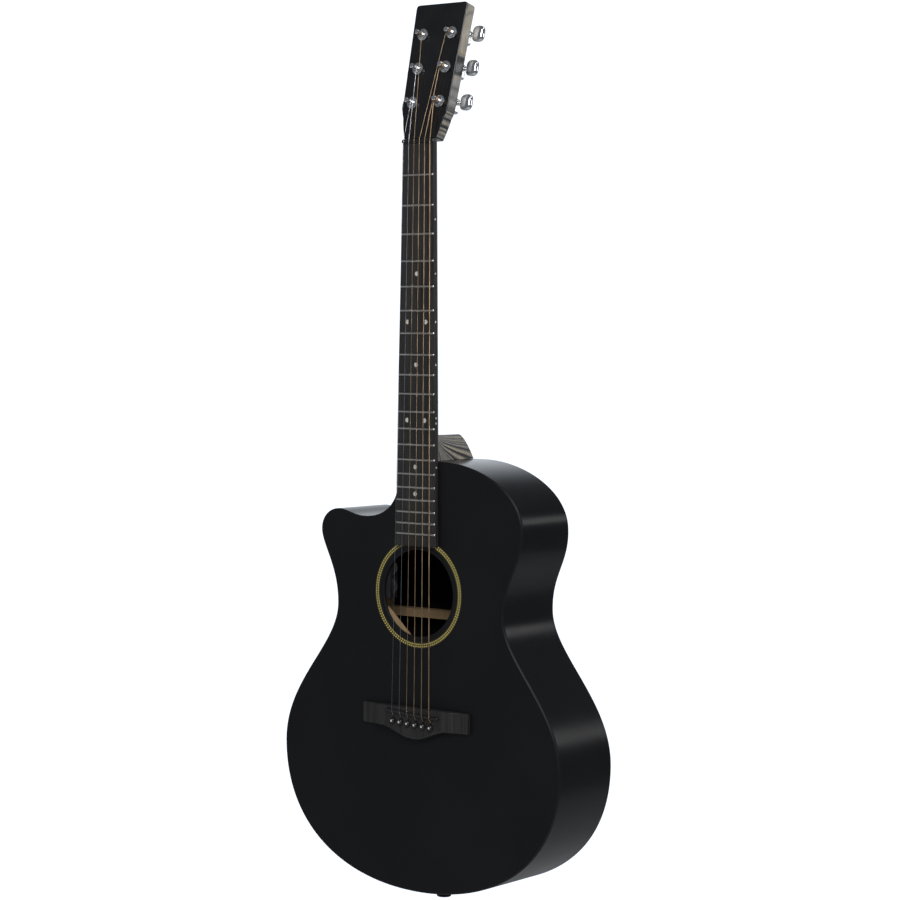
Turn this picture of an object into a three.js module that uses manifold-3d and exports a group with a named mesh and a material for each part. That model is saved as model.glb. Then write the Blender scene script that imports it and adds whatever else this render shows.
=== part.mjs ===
// A steel-string cutaway acoustic guitar, built as the separate pieces a maker glues and bolts together.
//
// Frame, in millimetres: the origin is on the centreline, at the front edge of the nut, on the front plane
// of the fingerboard. +Z runs up the neck to the headstock, the front of the guitar faces -Y, and +X is the
// bass side. The cutaway is on the treble side, -X.

import * as THREE from 'three';
import { mergeVertices } from 'three/addons/utils/BufferGeometryUtils.js';
import Module from 'manifold-3d';

const wasm = await Module();
wasm.setup();

// ------------------------------------------------------------------ driving dimensions

const GAP = 0.3; // between pieces that touch

// Strings and fingerboard
const SCALE_LENGTH = 645.2;
const SEMITONES = 12;
const FRET_COUNT = 20;
const FRET_WIDTH = 2.2;
const FRET_HEIGHT = 1.1;
const NUT_WIDTH = 44.45;
const NUT = { depth: 4.4, top: -1.9, slotFloor: -1.2 };
const TWELFTH_FRET_WIDTH = 54;
const BOARD_THICKNESS = 6.2;
const BOARD_END_Z = -456;
const STRING_COUNT = 6;
const STRING_DIAMETERS = [0.305, 0.406, 0.635, 0.813, 1.067, 1.372];
const STRING_SPREAD_AT_NUT = 38.4;
const STRING_SPREAD_AT_SADDLE = 54.5;

// Body
const TOP_Y = 6.5; // outer face of the soundboard
const TOP_THICKNESS = 3;
const BACK_THICKNESS = 2.8;
const SIDE_THICKNESS = 2.2;
const BODY_TOP_Z = -359;
const BODY_BOTTOM_Z = -853;
const LOWER_BOUT = { x: 199.5, z: -697 };
const WAIST = { x: 120, z: -529 };
const UPPER_BOUT = { x: 145.5, z: -433 };
const BACK_RADIUS = 4572; // the back is a shallow dome
const BACK_CROWN_Z = -600;
const DEPTH_AT_CROWN = 102.5;
const DEPTH_TAPER = 0.0404; // the body deepens towards the tail
const LINING_WIDTH = 5.5;
const LINING_DEPTH = 12;

// Soundhole and rosette
const SOUNDHOLE = { z: -510, radius: 49.8 };
const ROSETTE = { inner: 56.2, outer: 63.2, depth: 0.7 };
const HOLE_SEGMENTS = 22;

// Bridge, saddle and pins
const BRIDGE = { length: 152.4, frontZ: -640.5, wingZ: -664.5, bellyZ: -676.5, thickness: 8.8, wing: 4.2 };
const STRING_SLANT = THREE.MathUtils.degToRad(3.3); // the saddle and the row of pins are slanted
const SADDLE = { length: 75, width: 3.2, z: -647.5, topY: -5.6, slotDepth: 5.5 };
const PIN = { z: -658.6, shank: 2.3, tip: 1.9, length: 21, head: 3.5 };
const PIN_HOLE_RADIUS = 2.6;

// Neck and headstock
const NECK_DEPTH_AT_NUT = 14.5; // behind the fingerboard's plane
const NECK_DEPTH_AT_HEEL = 17.5;
const HEADSTOCK_TILT = THREE.MathUtils.degToRad(14.2);
const HEADSTOCK_ORIGIN = new THREE.Vector3(0, 3.5, 5); // front face, behind the nut
const HEADSTOCK = { length: 160, foot: 22.3, shoulderS: 31, shoulder: 32.2, top: 36.4, corner: 4.5 };
const FACEPLATE_THICKNESS = 1.2;
const HEADSTOCK_THICKNESS = 15.5; // faceplate and wood together
const HEEL = { front: 8, rear: 91, capSlope: 0.42, reach: 28, flare: 34, flareDecay: 5.5 };
const TENON = { width: 19, length: 16, front: 12, rear: 78 };

// Tuning machines, placed by the string they serve
const TUNER_ROWS = [
  { s: 43, x: 19.4 },
  { s: 83.5, x: 19.8 },
  { s: 124, x: 20.8 },
]; // post axes: distance up the headstock, and to each side of the centreline
const POST_RADIUS = 3;
const POST_WAIST = 2.6;
const POST_HEIGHT = 12; // above the faceplate
const STRING_HOLE_DEPTH = 1.6; // below the top of the post
const WRAP_HEIGHT = 7; // middle of the string's turns, above the faceplate
const BUSHING_RADIUS = 4.6;
const KEY_OFFSET = 4; // worm axis from the post axis, along the headstock
const KEY_DEPTH = 5; // worm axis behind the headstock's back
const BUTTON = { start: 15, length: 15, height: 19, depth: 9 };

// Truss rod, end pin and controls
const ROD = { width: 6, front: 10, rear: 17, top: -8, bottom: -409 };
const ROD_AXIS_Y = (ROD.front + ROD.rear) / 2;
const END_PIN_Y = 59;
const END_PIN_BORE = 3.3;
const WHEEL = { radius: 9, thickness: 3, x: -46, y: 15, axle: 1.2 };
const WHEEL_Z = { volume: -484, tone: -506 };

// ------------------------------------------------------------------ materials

function finish(color, roughness, metalness) {
  return { color, roughness, metalness };
}

const FINISH = {
  top: finish(0x17181b, 0.5, 0),
  shell: finish(0x121316, 0.3, 0),
  black: finish(0x0d0d0e, 0.35, 0),
  board: finish(0x1b1a1a, 0.55, 0),
  laminate: finish(0x6e6a60, 0.5, 0),
  spruce: finish(0xc9a36c, 0.7, 0),
  rosette: finish(0x9a8a2e, 0.5, 0),
  chrome: finish(0xcfd2d6, 0.12, 1),
  steel: finish(0xb4b7bb, 0.3, 1),
  bronze: finish(0xb07a45, 0.35, 1),
  plastic: finish(0x111112, 0.45, 0),
};

// ------------------------------------------------------------------ solids

// Turns a closed geometry into a solid that can be cut and joined.
function solid(geometry) {
  const bare = geometry.clone();
  bare.deleteAttribute('normal');
  bare.deleteAttribute('uv');
  const merged = mergeVertices(bare, 1e-4);
  return new wasm.Manifold(
    new wasm.Mesh({
      numProp: 3,
      vertProperties: new Float32Array(merged.attributes.position.array),
      triVerts: new Uint32Array(merged.index.array),
    })
  );
}

function geometryOf(body) {
  const mesh = body.getMesh();
  const geometry = new THREE.BufferGeometry();
  geometry.setAttribute('position', new THREE.BufferAttribute(new Float32Array(mesh.vertProperties), 3));
  geometry.setIndex(new THREE.BufferAttribute(new Uint32Array(mesh.triVerts), 1));
  return geometry;
}

// A flat plate: a shape drawn in X and Z, running from yFront back to yBack.
function slab(shape, yFront, yBack, curveSegments = 12) {
  const options = { depth: yBack - yFront, bevelEnabled: false, curveSegments };
  return new THREE.ExtrudeGeometry(shape, options).rotateX(Math.PI / 2).translate(0, yBack, 0);
}

function block(x0, x1, y0, y1, z0, z1) {
  const box = new THREE.BoxGeometry(x1 - x0, y1 - y0, z1 - z0);
  return box.translate((x0 + x1) / 2, (y0 + y1) / 2, (z0 + z1) / 2);
}

// A cylinder along Y from y0 to y1.
function rod(radius, y0, y1, x, z, sides = 20) {
  return new THREE.CylinderGeometry(radius, radius, y1 - y0, sides).translate(x, (y0 + y1) / 2, z);
}

// A cylinder on the centreline, along Z from z0 to z1.
function rodAlongZ(radius, z0, z1, y, sides) {
  const cylinder = new THREE.CylinderGeometry(radius, radius, z1 - z0, sides);
  return cylinder.rotateX(Math.PI / 2).translate(0, y, (z0 + z1) / 2);
}

// A turned piece about the Y axis. Profile points are [radius, y], from the low end to the high end.
function turned(profile, sides = 20) {
  const points = profile.map(([radius, y]) => new THREE.Vector2(radius, y));
  return new THREE.LatheGeometry(points, sides);
}

function polygon(points) {
  return new THREE.Shape(points.map(([x, z]) => new THREE.Vector2(x, z)));
}

// ------------------------------------------------------------------ body outline

// Lengths of the handles of the outline's curves, at the tail and at each widest or narrowest place.
const HANDLE = {
  tail: 115,
  lowerDown: 100,
  lowerUp: 72,
  waistDown: 50,
  waistUp: 43,
  upperDown: 40,
  upperUp: 45,
};
const NECK_JOINT = { right: 30, left: -29.5 };
const CUTAWAY = { foot: [-30.5, -384], floor: [-81, -425.8], crest: [-120, -418.8], tip: [-145.5, -443] };

function bodyShape() {
  const { tail, lowerDown, lowerUp, waistDown, waistUp, upperDown, upperUp } = HANDLE;
  const { foot, floor, crest, tip } = CUTAWAY;
  const low = LOWER_BOUT;
  const up = UPPER_BOUT;
  const shape = new THREE.Shape();
  shape.moveTo(0, BODY_BOTTOM_Z);
  shape.bezierCurveTo(tail, BODY_BOTTOM_Z, low.x, low.z - lowerDown, low.x, low.z);
  shape.bezierCurveTo(low.x, low.z + lowerUp, WAIST.x, WAIST.z - waistDown, WAIST.x, WAIST.z);
  shape.bezierCurveTo(WAIST.x, WAIST.z + waistUp, up.x, up.z - upperDown, up.x, up.z);
  shape.bezierCurveTo(up.x, up.z + upperUp, NECK_JOINT.right + 53, BODY_TOP_Z, NECK_JOINT.right, BODY_TOP_Z);
  shape.lineTo(NECK_JOINT.left, BODY_TOP_Z);
  // The cutaway: down beside the neck, along its floor and over the horn.
  shape.lineTo(foot[0], foot[1]);
  shape.bezierCurveTo(foot[0] - 2, foot[1] - 26, floor[0] + 29, floor[1], floor[0], floor[1]);
  shape.bezierCurveTo(floor[0] - 18, floor[1], crest[0] + 13, crest[1], crest[0], crest[1]);
  shape.bezierCurveTo(crest[0] - 14, crest[1], tip[0], tip[1] + 14, tip[0], tip[1]);
  shape.bezierCurveTo(tip[0], tip[1] - 20, -WAIST.x, WAIST.z + waistUp, -WAIST.x, WAIST.z);
  shape.bezierCurveTo(-WAIST.x, WAIST.z - waistDown, -low.x, low.z + lowerUp, -low.x, low.z);
  shape.bezierCurveTo(-low.x, low.z - lowerDown, -tail, BODY_BOTTOM_Z, 0, BODY_BOTTOM_Z);
  return shape;
}

const OUTLINE_POINTS = bodyShape()
  .extractPoints(8)
  .shape.filter((point, i, all) => point.distanceTo(all[(i + 1) % all.length]) > 0.01);

// The outline moved inwards by a distance, with the points that would fold over left out.
function insetShape(distance) {
  const count = OUTLINE_POINTS.length;
  const moved = OUTLINE_POINTS.map((point, i) => {
    const before = OUTLINE_POINTS[(i + count - 1) % count];
    const after = OUTLINE_POINTS[(i + 1) % count];
    const into = new THREE.Vector2().subVectors(point, before).normalize();
    const out = new THREE.Vector2().subVectors(after, point).normalize();
    const along = into.clone().add(out).normalize();
    const inward = new THREE.Vector2(-along.y, along.x);
    const mitre = distance / Math.max(0.5, Math.abs(inward.dot(new THREE.Vector2(-into.y, into.x))));
    return point.clone().addScaledVector(inward, mitre);
  });
  return new THREE.Shape(moved);
}

function outlineSlab(inset, yFront, yBack) {
  return solid(slab(inset > 0 ? insetShape(inset) : new THREE.Shape(OUTLINE_POINTS), yFront, yBack));
}

// Depth of the back's outer face below any point of the outline.
function backY(x, z) {
  const fromCrown = z - BACK_CROWN_Z;
  const dome = (fromCrown * fromCrown + x * x) / (2 * BACK_RADIUS);
  return TOP_Y + DEPTH_AT_CROWN - DEPTH_TAPER * fromCrown - dome;
}

// Everything in front of a surface that runs parallel to the back, a given distance inside it.
function inFrontOfBack(inside) {
  const width = 440;
  const height = 540;
  const middle = (BODY_TOP_Z + BODY_BOTTOM_Z) / 2;
  const box = new THREE.BoxGeometry(width, 2, height, 6, 1, 8).translate(0, 0, middle);
  const position = box.attributes.position;
  for (let i = 0; i < position.count; i += 1) {
    if (position.getY(i) > 0) {
      position.setY(i, backY(position.getX(i), position.getZ(i)) - inside);
    } else {
      position.setY(i, TOP_Y - 10);
    }
  }
  return solid(box);
}

const TOP_INNER = TOP_Y + TOP_THICKNESS + GAP; // front of whatever is glued under the soundboard
const DEEPEST = 140;
const BACK_INNER = BACK_THICKNESS + GAP;

// ------------------------------------------------------------------ shared cutters

// A point of the slanted rows, given its place along the row.
function slanted(x, z) {
  return { x, z: z - Math.tan(STRING_SLANT) * x };
}

function stringFraction(number) {
  return (number - 1) / (STRING_COUNT - 1) - 0.5;
}

function pinPlace(number) {
  return slanted(stringFraction(number) * STRING_SPREAD_AT_SADDLE, PIN.z);
}

const SLOT = { width: 2.2, reach: 5.6 }; // ramp in front of each pin hole, for the string

function pinHoles(y0, y1) {
  let holes = null;
  for (let number = 1; number <= STRING_COUNT; number += 1) {
    const { x, z } = pinPlace(number);
    const round = solid(rod(PIN_HOLE_RADIUS, y0, y1, x, z, 12));
    const ramp = solid(block(x - SLOT.width / 2, x + SLOT.width / 2, y0, y1, z, z + SLOT.reach));
    const hole = round.add(ramp);
    holes = holes ? holes.add(hole) : hole;
  }
  return holes;
}

const tenonSocket = solid(
  block(
    -TENON.width / 2 - GAP,
    TENON.width / 2 + GAP,
    TENON.front - GAP,
    TENON.rear + GAP,
    BODY_TOP_Z - TENON.length - GAP,
    BODY_TOP_Z + 5
  )
);
const rodChannel = solid(
  block(-ROD.width / 2 - GAP, ROD.width / 2 + GAP, ROD.front - GAP, ROD.rear + GAP, ROD.bottom - 10, 0)
);
const endPinHole = solid(rodAlongZ(6.4, BODY_BOTTOM_Z - 40, BODY_BOTTOM_Z + 40, END_PIN_Y, 24));

// ------------------------------------------------------------------ body pieces

function soundboard() {
  const shape = new THREE.Shape(OUTLINE_POINTS);
  const hole = new THREE.Path();
  hole.absarc(0, SOUNDHOLE.z, SOUNDHOLE.radius, 0, 2 * Math.PI, true);
  shape.holes.push(hole);
  const plate = solid(slab(shape, TOP_Y, TOP_Y + TOP_THICKNESS, HOLE_SEGMENTS));
  const groove = solid(slab(ringShape(GAP), TOP_Y - 1, TOP_Y + ROSETTE.depth + GAP, HOLE_SEGMENTS));
  return plate.subtract(groove).subtract(pinHoles(TOP_Y - 1, TOP_Y + TOP_THICKNESS + 1));
}

// The rosette is a whole ring, let into the soundboard and covered by the end of the fingerboard.
// Grow widens it into its groove.
function ringShape(grow) {
  const shape = new THREE.Shape();
  shape.absarc(0, SOUNDHOLE.z, ROSETTE.outer + grow, 0, 2 * Math.PI, false);
  const inside = new THREE.Path();
  inside.absarc(0, SOUNDHOLE.z, ROSETTE.inner - grow, 0, 2 * Math.PI, true);
  shape.holes.push(inside);
  return shape;
}

function rosette() {
  return solid(slab(ringShape(0), TOP_Y, TOP_Y + ROSETTE.depth, HOLE_SEGMENTS));
}

function back() {
  const plate = outlineSlab(0, TOP_Y, DEEPEST).intersect(inFrontOfBack(0));
  return plate.subtract(inFrontOfBack(BACK_THICKNESS));
}

function sides() {
  const shell = outlineSlab(0, TOP_INNER, DEEPEST).intersect(inFrontOfBack(BACK_INNER));
  const hollow = outlineSlab(SIDE_THICKNESS, 0, DEEPEST);
  return shell.subtract(hollow).subtract(tenonSocket).subtract(rodChannel).subtract(endPinHole);
}

// A lining glued into a corner of the sides, all the way round from one side of the neck block to the other.
// Grow widens it into the notch that it needs.
function lining(band, grow) {
  const outside = SIDE_THICKNESS + GAP;
  const inside = outside + LINING_WIDTH + grow;
  const ring = outlineSlab(outside, 0, DEEPEST).subtract(outlineSlab(inside, 0, DEEPEST));
  const atNeckBlock = solid(block(-45, 45, 0, DEEPEST, BODY_TOP_Z - 52, BODY_TOP_Z + 10));
  return ring.intersect(band).subtract(atNeckBlock);
}

function topLining(grow = 0) {
  return lining(outlineSlab(0, TOP_INNER, TOP_INNER + LINING_DEPTH + grow), grow);
}

function backLining(grow = 0) {
  return lining(inFrontOfBack(BACK_INNER).subtract(inFrontOfBack(BACK_INNER + LINING_DEPTH + grow)), grow);
}

function neckBlock() {
  const room = outlineSlab(SIDE_THICKNESS + GAP, TOP_INNER, DEEPEST).intersect(inFrontOfBack(BACK_INNER));
  const cube = solid(block(-40, 36, 0, DEEPEST, BODY_TOP_Z - 45, BODY_TOP_Z));
  return room.intersect(cube).subtract(tenonSocket).subtract(rodChannel);
}

function tailBlock() {
  const room = outlineSlab(SIDE_THICKNESS + GAP, TOP_INNER, DEEPEST).intersect(inFrontOfBack(BACK_INNER));
  const cube = solid(block(-40, 40, 0, DEEPEST, BODY_BOTTOM_Z, BODY_BOTTOM_Z + 20));
  return room.intersect(cube).subtract(endPinHole).subtract(topLining(GAP)).subtract(backLining(GAP));
}

// A straight bar glued under the soundboard from one point to another.
function topBar(from, to, width, depth) {
  const along = new THREE.Vector2(to[0] - from[0], to[1] - from[1]);
  const bar = new THREE.BoxGeometry(along.length(), depth, width);
  bar.rotateY(-along.angle());
  bar.translate((from[0] + to[0]) / 2, TOP_INNER + depth / 2, (from[1] + to[1]) / 2);
  return solid(bar);
}

const insideLining = outlineSlab(SIDE_THICKNESS + 2 * GAP + LINING_WIDTH, 0, DEEPEST);

const X_BRACE = { width: 8, depth: 15, lap: 7.5 };
const X_ENDS = { top: [118, -480], bottom: [-172, -745.6] };

function mirrored([x, z]) {
  return [-x, z];
}

function xBar(number, grow = 0) {
  const ends = [X_ENDS.top, X_ENDS.bottom];
  const [from, to] = number === 1 ? ends : ends.map(mirrored);
  return topBar(from, to, X_BRACE.width + 2 * grow, X_BRACE.depth + grow).intersect(insideLining);
}

// The two bars of the X cross in a half lap: bar 1 keeps the front half, bar 2 the rear half.
function xBrace(number) {
  const lapY = TOP_INNER + X_BRACE.lap;
  const [front, rear] = number === 1 ? [lapY, DEEPEST] : [0, lapY + GAP];
  const half = solid(block(-30, 30, front, rear, LOWER_BOUT.z, SOUNDHOLE.z));
  return xBar(number).subtract(xBar(3 - number, GAP).intersect(half));
}

function transverseBrace() {
  const wrenchHole = solid(rodAlongZ(5, -455, -425, 16, 16));
  const bar = topBar([-UPPER_BOUT.x, -440], [UPPER_BOUT.x, -440], 9, 16);
  return bar.intersect(insideLining).subtract(wrenchHole);
}

function toneBar(number) {
  const ends = number === 1 ? [[84, -690], [-110, -742]] : [[110, -736], [-60, -790]];
  return topBar(ends[0], ends[1], 7, 12);
}

const PLATE_THICKNESS = 2.5;

function bridgePlate() {
  const plate = polygon([[-76, -672], [76, -672], [46, -638], [-46, -638]]);
  const sheet = solid(slab(plate, TOP_INNER, TOP_INNER + PLATE_THICKNESS));
  return sheet.subtract(pinHoles(TOP_INNER - 1, TOP_INNER + PLATE_THICKNESS + 1));
}

const BACK_BRACES = [
  { z: -455, width: 10, depth: 14 },
  { z: -544, width: 10, depth: 14 },
  { z: -640, width: 18, depth: 10 },
  { z: -738, width: 18, depth: 10 },
];

function backBrace({ z, width, depth }) {
  const layer = inFrontOfBack(BACK_INNER).subtract(inFrontOfBack(BACK_INNER + depth));
  const strip = solid(block(-200, 200, 0, DEEPEST, z - width / 2, z + width / 2));
  return layer.intersect(strip).intersect(insideLining);
}

// ------------------------------------------------------------------ bridge, saddle and pins

function bridge() {
  const half = BRIDGE.length / 2;
  const shape = new THREE.Shape();
  shape.moveTo(-half, BRIDGE.frontZ);
  shape.lineTo(-half, BRIDGE.wingZ);
  shape.lineTo(-50, BRIDGE.wingZ);
  shape.bezierCurveTo(-40, BRIDGE.wingZ, -34, BRIDGE.bellyZ, 0, BRIDGE.bellyZ);
  shape.bezierCurveTo(34, BRIDGE.bellyZ, 40, BRIDGE.wingZ, 50, BRIDGE.wingZ);
  shape.lineTo(half, BRIDGE.wingZ);
  shape.lineTo(half, BRIDGE.frontZ);
  const bottom = TOP_Y - GAP;
  const top = TOP_Y - BRIDGE.thickness;
  const plan = solid(slab(shape, top - 5, bottom));
  // Side view: full height in the middle, scooped down to thin wings.
  const wingY = TOP_Y - BRIDGE.wing;
  const side = new THREE.Shape();
  side.moveTo(-half - 1, bottom);
  side.lineTo(half + 1, bottom);
  side.lineTo(half + 1, wingY);
  side.bezierCurveTo(62, wingY, 58, top, 48, top);
  side.lineTo(-48, top);
  side.bezierCurveTo(-58, top, -62, wingY, -half - 1, wingY);
  const profile = new THREE.ExtrudeGeometry(side, { depth: 60, bevelEnabled: false, curveSegments: 6 });
  profile.translate(0, 0, BRIDGE.bellyZ - 5);
  const slot = new THREE.BoxGeometry(SADDLE.length + 2 * GAP, 20, SADDLE.width + 2 * GAP);
  slot.rotateY(STRING_SLANT).translate(0, top + SADDLE.slotDepth - 10, SADDLE.z);
  const shaped = plan.intersect(solid(profile));
  return shaped.subtract(solid(slot)).subtract(pinHoles(top - 6, bottom + 1));
}

// The saddle stands on the floor of its slot, with a top that is rounded along its length.
function saddle() {
  const floor = TOP_Y - BRIDGE.thickness + SADDLE.slotDepth - GAP;
  const half = SADDLE.width / 2;
  const section = new THREE.Shape();
  section.moveTo(-half, floor);
  section.lineTo(-half, SADDLE.topY + 1.2);
  section.quadraticCurveTo(-half, SADDLE.topY, 0, SADDLE.topY);
  section.quadraticCurveTo(half, SADDLE.topY, half, SADDLE.topY + 1.2);
  section.lineTo(half, floor);
  const options = { depth: SADDLE.length, bevelEnabled: false, curveSegments: 3 };
  const bar = new THREE.ExtrudeGeometry(section, options);
  return bar.translate(0, 0, -SADDLE.length / 2).rotateY(-Math.PI / 2);
}

// A bridge pin along Y: the head is in front of the bridge and the shank runs back through it.
function bridgePin() {
  const seat = TOP_Y - BRIDGE.thickness - GAP;
  return turned(
    [
      [0, seat - 4.4],
      [2.3, seat - 3.8],
      [PIN.head, seat - 1.6],
      [PIN.shank, seat],
      [PIN.tip, seat + PIN.length - 1],
      [0, seat + PIN.length],
    ],
    10
  );
}

// ------------------------------------------------------------------ neck, fingerboard and nut

function boardHalfWidth(z) {
  const perMillimetre = (TWELFTH_FRET_WIDTH - NUT_WIDTH) / SCALE_LENGTH; // half of the taper per half scale
  return NUT_WIDTH / 2 - perMillimetre * z;
}

function fretZ(number) {
  return -SCALE_LENGTH * (1 - 2 ** (-number / SEMITONES));
}

function fingerboard() {
  const nutEnd = -GAP;
  const shape = polygon([
    [-boardHalfWidth(nutEnd), nutEnd],
    [-boardHalfWidth(BOARD_END_Z), BOARD_END_Z],
    [boardHalfWidth(BOARD_END_Z), BOARD_END_Z],
    [boardHalfWidth(nutEnd), nutEnd],
  ]);
  let board = solid(slab(shape, 0, BOARD_THICKNESS));
  const crown = new THREE.Shape();
  crown.moveTo(-FRET_WIDTH / 2, 0.5);
  crown.lineTo(-FRET_WIDTH / 2, 0);
  crown.quadraticCurveTo(-FRET_WIDTH / 2, -FRET_HEIGHT, 0, -FRET_HEIGHT);
  crown.quadraticCurveTo(FRET_WIDTH / 2, -FRET_HEIGHT, FRET_WIDTH / 2, 0);
  crown.lineTo(FRET_WIDTH / 2, 0.5);
  for (let number = 1; number <= FRET_COUNT; number += 1) {
    const z = fretZ(number);
    const length = 2 * boardHalfWidth(z) - 1;
    const wire = new THREE.ExtrudeGeometry(crown, { depth: length, bevelEnabled: false, curveSegments: 2 });
    wire.translate(0, 0, -length / 2).rotateY(-Math.PI / 2).translate(0, 0, z);
    board = board.add(solid(wire));
  }
  return board;
}

function nut() {
  const { depth, top } = NUT;
  const half = NUT_WIDTH / 2;
  const shape = new THREE.Shape();
  shape.moveTo(0, BOARD_THICKNESS);
  shape.lineTo(0, top + 0.9);
  shape.quadraticCurveTo(0.4, top, 1.4, top);
  shape.quadraticCurveTo(depth, top + 0.3, depth, top + 2.9);
  shape.lineTo(depth, BOARD_THICKNESS);
  const bar = new THREE.ExtrudeGeometry(shape, { depth: NUT_WIDTH, bevelEnabled: false, curveSegments: 4 });
  bar.rotateY(-Math.PI / 2).translate(half, 0, 0);
  let body = solid(bar);
  for (let number = 1; number <= STRING_COUNT; number += 1) {
    const notch = stringRadius(number) + GAP;
    const x = stringFraction(number) * STRING_SPREAD_AT_NUT;
    body = body.subtract(solid(block(x - notch, x + notch, -5, NUT.slotFloor, -2, 8)));
  }
  return body;
}

// A half-round bar of unit half-width and unit bulge, bent to shape by place(u, v, t), with t from 0 to 1.
function halfRound(stops, place) {
  const shape = new THREE.Shape();
  shape.moveTo(-1, 0);
  shape.lineTo(1, 0);
  shape.bezierCurveTo(0.84, 0.5, 0.48, 1, 0, 1);
  shape.bezierCurveTo(-0.48, 1, -0.84, 0.5, -1, 0);
  const steps = stops.length - 1;
  const bar = new THREE.ExtrudeGeometry(shape, { depth: 1, steps, bevelEnabled: false, curveSegments: 6 });
  const position = bar.attributes.position;
  const point = new THREE.Vector3();
  for (let i = 0; i < position.count; i += 1) {
    const stop = stops[Math.round(position.getZ(i) * steps)];
    place(point, position.getX(i), position.getY(i), stop);
    position.setXYZ(i, point.x, point.y, point.z);
  }
  return solid(bar);
}

// World height of the plane a given distance behind the headstock's front face.
function headstockPlaneY(z, behind) {
  const rise = z - HEADSTOCK_ORIGIN.z;
  return HEADSTOCK_ORIGIN.y + rise * Math.tan(HEADSTOCK_TILT) + behind / Math.cos(HEADSTOCK_TILT);
}

const SHELF_Z = 4.7; // end of the shelf that the nut stands on
const VOLUTE_Z = 34; // where the round of the neck has run out into the flat headstock

function neckDepth(z) {
  return THREE.MathUtils.lerp(NECK_DEPTH_AT_NUT, NECK_DEPTH_AT_HEEL, THREE.MathUtils.clamp(-z / 300, 0, 1));
}

function shaft() {
  const zs = [BODY_TOP_Z + GAP, -300, -200, -100, 0, SHELF_Z, 10, 16, 22, 28, VOLUTE_Z];
  return halfRound(zs, (point, u, v, z) => {
    if (z <= SHELF_Z) {
      point.set(u * boardHalfWidth(z), TOP_Y + v * neckDepth(z), z);
      return;
    }
    const runOut = (z - SHELF_Z) / (VOLUTE_Z - SHELF_Z);
    const front = headstockPlaneY(z, 6);
    const backAtNut = TOP_Y + neckDepth(0);
    const flat = headstockPlaneY(z, HEADSTOCK_THICKNESS);
    const rear = THREE.MathUtils.lerp(backAtNut + (z - SHELF_Z) * 0.12, flat - 0.4, Math.sqrt(runOut));
    point.set(u * boardHalfWidth(0), front + v * Math.max(1, rear - front), z);
  });
}

function heelHalfWidth(y) {
  return 12.5 + 14 * Math.exp(-(y - HEEL.front) / 30);
}

function heelReach(y) {
  return HEEL.reach + Math.min(HEEL.flare, HEEL.flare * Math.exp(-(y - 21) / HEEL.flareDecay));
}

function heel() {
  const ys = [HEEL.rear, 75, 60, 48, 40, 34, 30, 27, 24.5, 22.5, 21, HEEL.front];
  const foot = BODY_TOP_Z + GAP;
  return halfRound(ys, (point, u, v, y) => {
    const reach = v * heelReach(y);
    const rearness = (y - HEEL.front) / (HEEL.rear - HEEL.front);
    point.set(u * heelHalfWidth(y), y - HEEL.capSlope * reach * rearness, foot + reach);
  });
}

function headstockShape() {
  const { length, foot, shoulderS, shoulder, top, corner } = HEADSTOCK;
  const shape = new THREE.Shape();
  shape.moveTo(-foot, 0);
  shape.lineTo(foot, 0);
  shape.lineTo(shoulder - 2, shoulderS - 6);
  shape.quadraticCurveTo(shoulder, shoulderS, shoulder + 0.1, shoulderS + 4);
  shape.lineTo(top, length - corner);
  shape.quadraticCurveTo(top + 0.1, length, top - corner, length);
  shape.lineTo(-top + corner, length);
  shape.quadraticCurveTo(-top - 0.1, length, -top, length - corner);
  shape.lineTo(-shoulder - 0.1, shoulderS + 4);
  shape.quadraticCurveTo(-shoulder, shoulderS, -shoulder + 2, shoulderS - 6);
  return shape;
}

// Side and row of each string's machine: strings 1 to 3 go up the treble side, 4 to 6 down the bass side.
function tunerPlace(number) {
  const side = number <= 3 ? -1 : 1;
  const { s, x } = TUNER_ROWS[number <= 3 ? number - 1 : STRING_COUNT - number];
  return { side, s, x: side * x };
}

function tunerHoles(y0, y1) {
  let holes = null;
  for (let number = 1; number <= STRING_COUNT; number += 1) {
    const { x, s } = tunerPlace(number);
    const hole = solid(rod(BUSHING_RADIUS + GAP, y0, y1, x, s, 12));
    holes = holes ? holes.add(hole) : hole;
  }
  return holes;
}

const headstockMatrix = new THREE.Matrix4()
  .makeTranslation(HEADSTOCK_ORIGIN)
  .multiply(new THREE.Matrix4().makeRotationX(-HEADSTOCK_TILT));

function faceplate() {
  const plate = solid(slab(headstockShape(), 0, FACEPLATE_THICKNESS, 4));
  return plate.subtract(tunerHoles(-1, FACEPLATE_THICKNESS + 1));
}

function neck() {
  const front = FACEPLATE_THICKNESS + GAP;
  const wood = solid(slab(headstockShape(), front, HEADSTOCK_THICKNESS, 4)).subtract(tunerHoles(-1, 30));
  const head = solid(geometryOf(wood).applyMatrix4(headstockMatrix));
  const tongue = TENON.width / 2;
  const tenonEnd = BODY_TOP_Z - TENON.length;
  const tenon = solid(block(-tongue, tongue, TENON.front, TENON.rear, tenonEnd, BODY_TOP_Z + 8));
  const nutShelf = solid(block(-40, 40, -10, TOP_Y, -20, SHELF_Z));
  const channel = solid(
    block(-ROD.width / 2 - GAP, ROD.width / 2 + GAP, TOP_Y - 1, ROD.rear + GAP, ROD.bottom, ROD.top + 2)
  );
  const whole = shaft().add(heel()).add(head.subtract(nutShelf)).add(tenon);
  return whole.subtract(channel);
}

function trussRod() {
  const bar = solid(block(-ROD.width / 2, ROD.width / 2, ROD.front, ROD.rear, BODY_TOP_Z - 40, ROD.top));
  const stub = rodAlongZ(2.2, BODY_TOP_Z - 60, BODY_TOP_Z - 38, ROD_AXIS_Y, 14);
  return bar.add(solid(stub));
}

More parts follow.
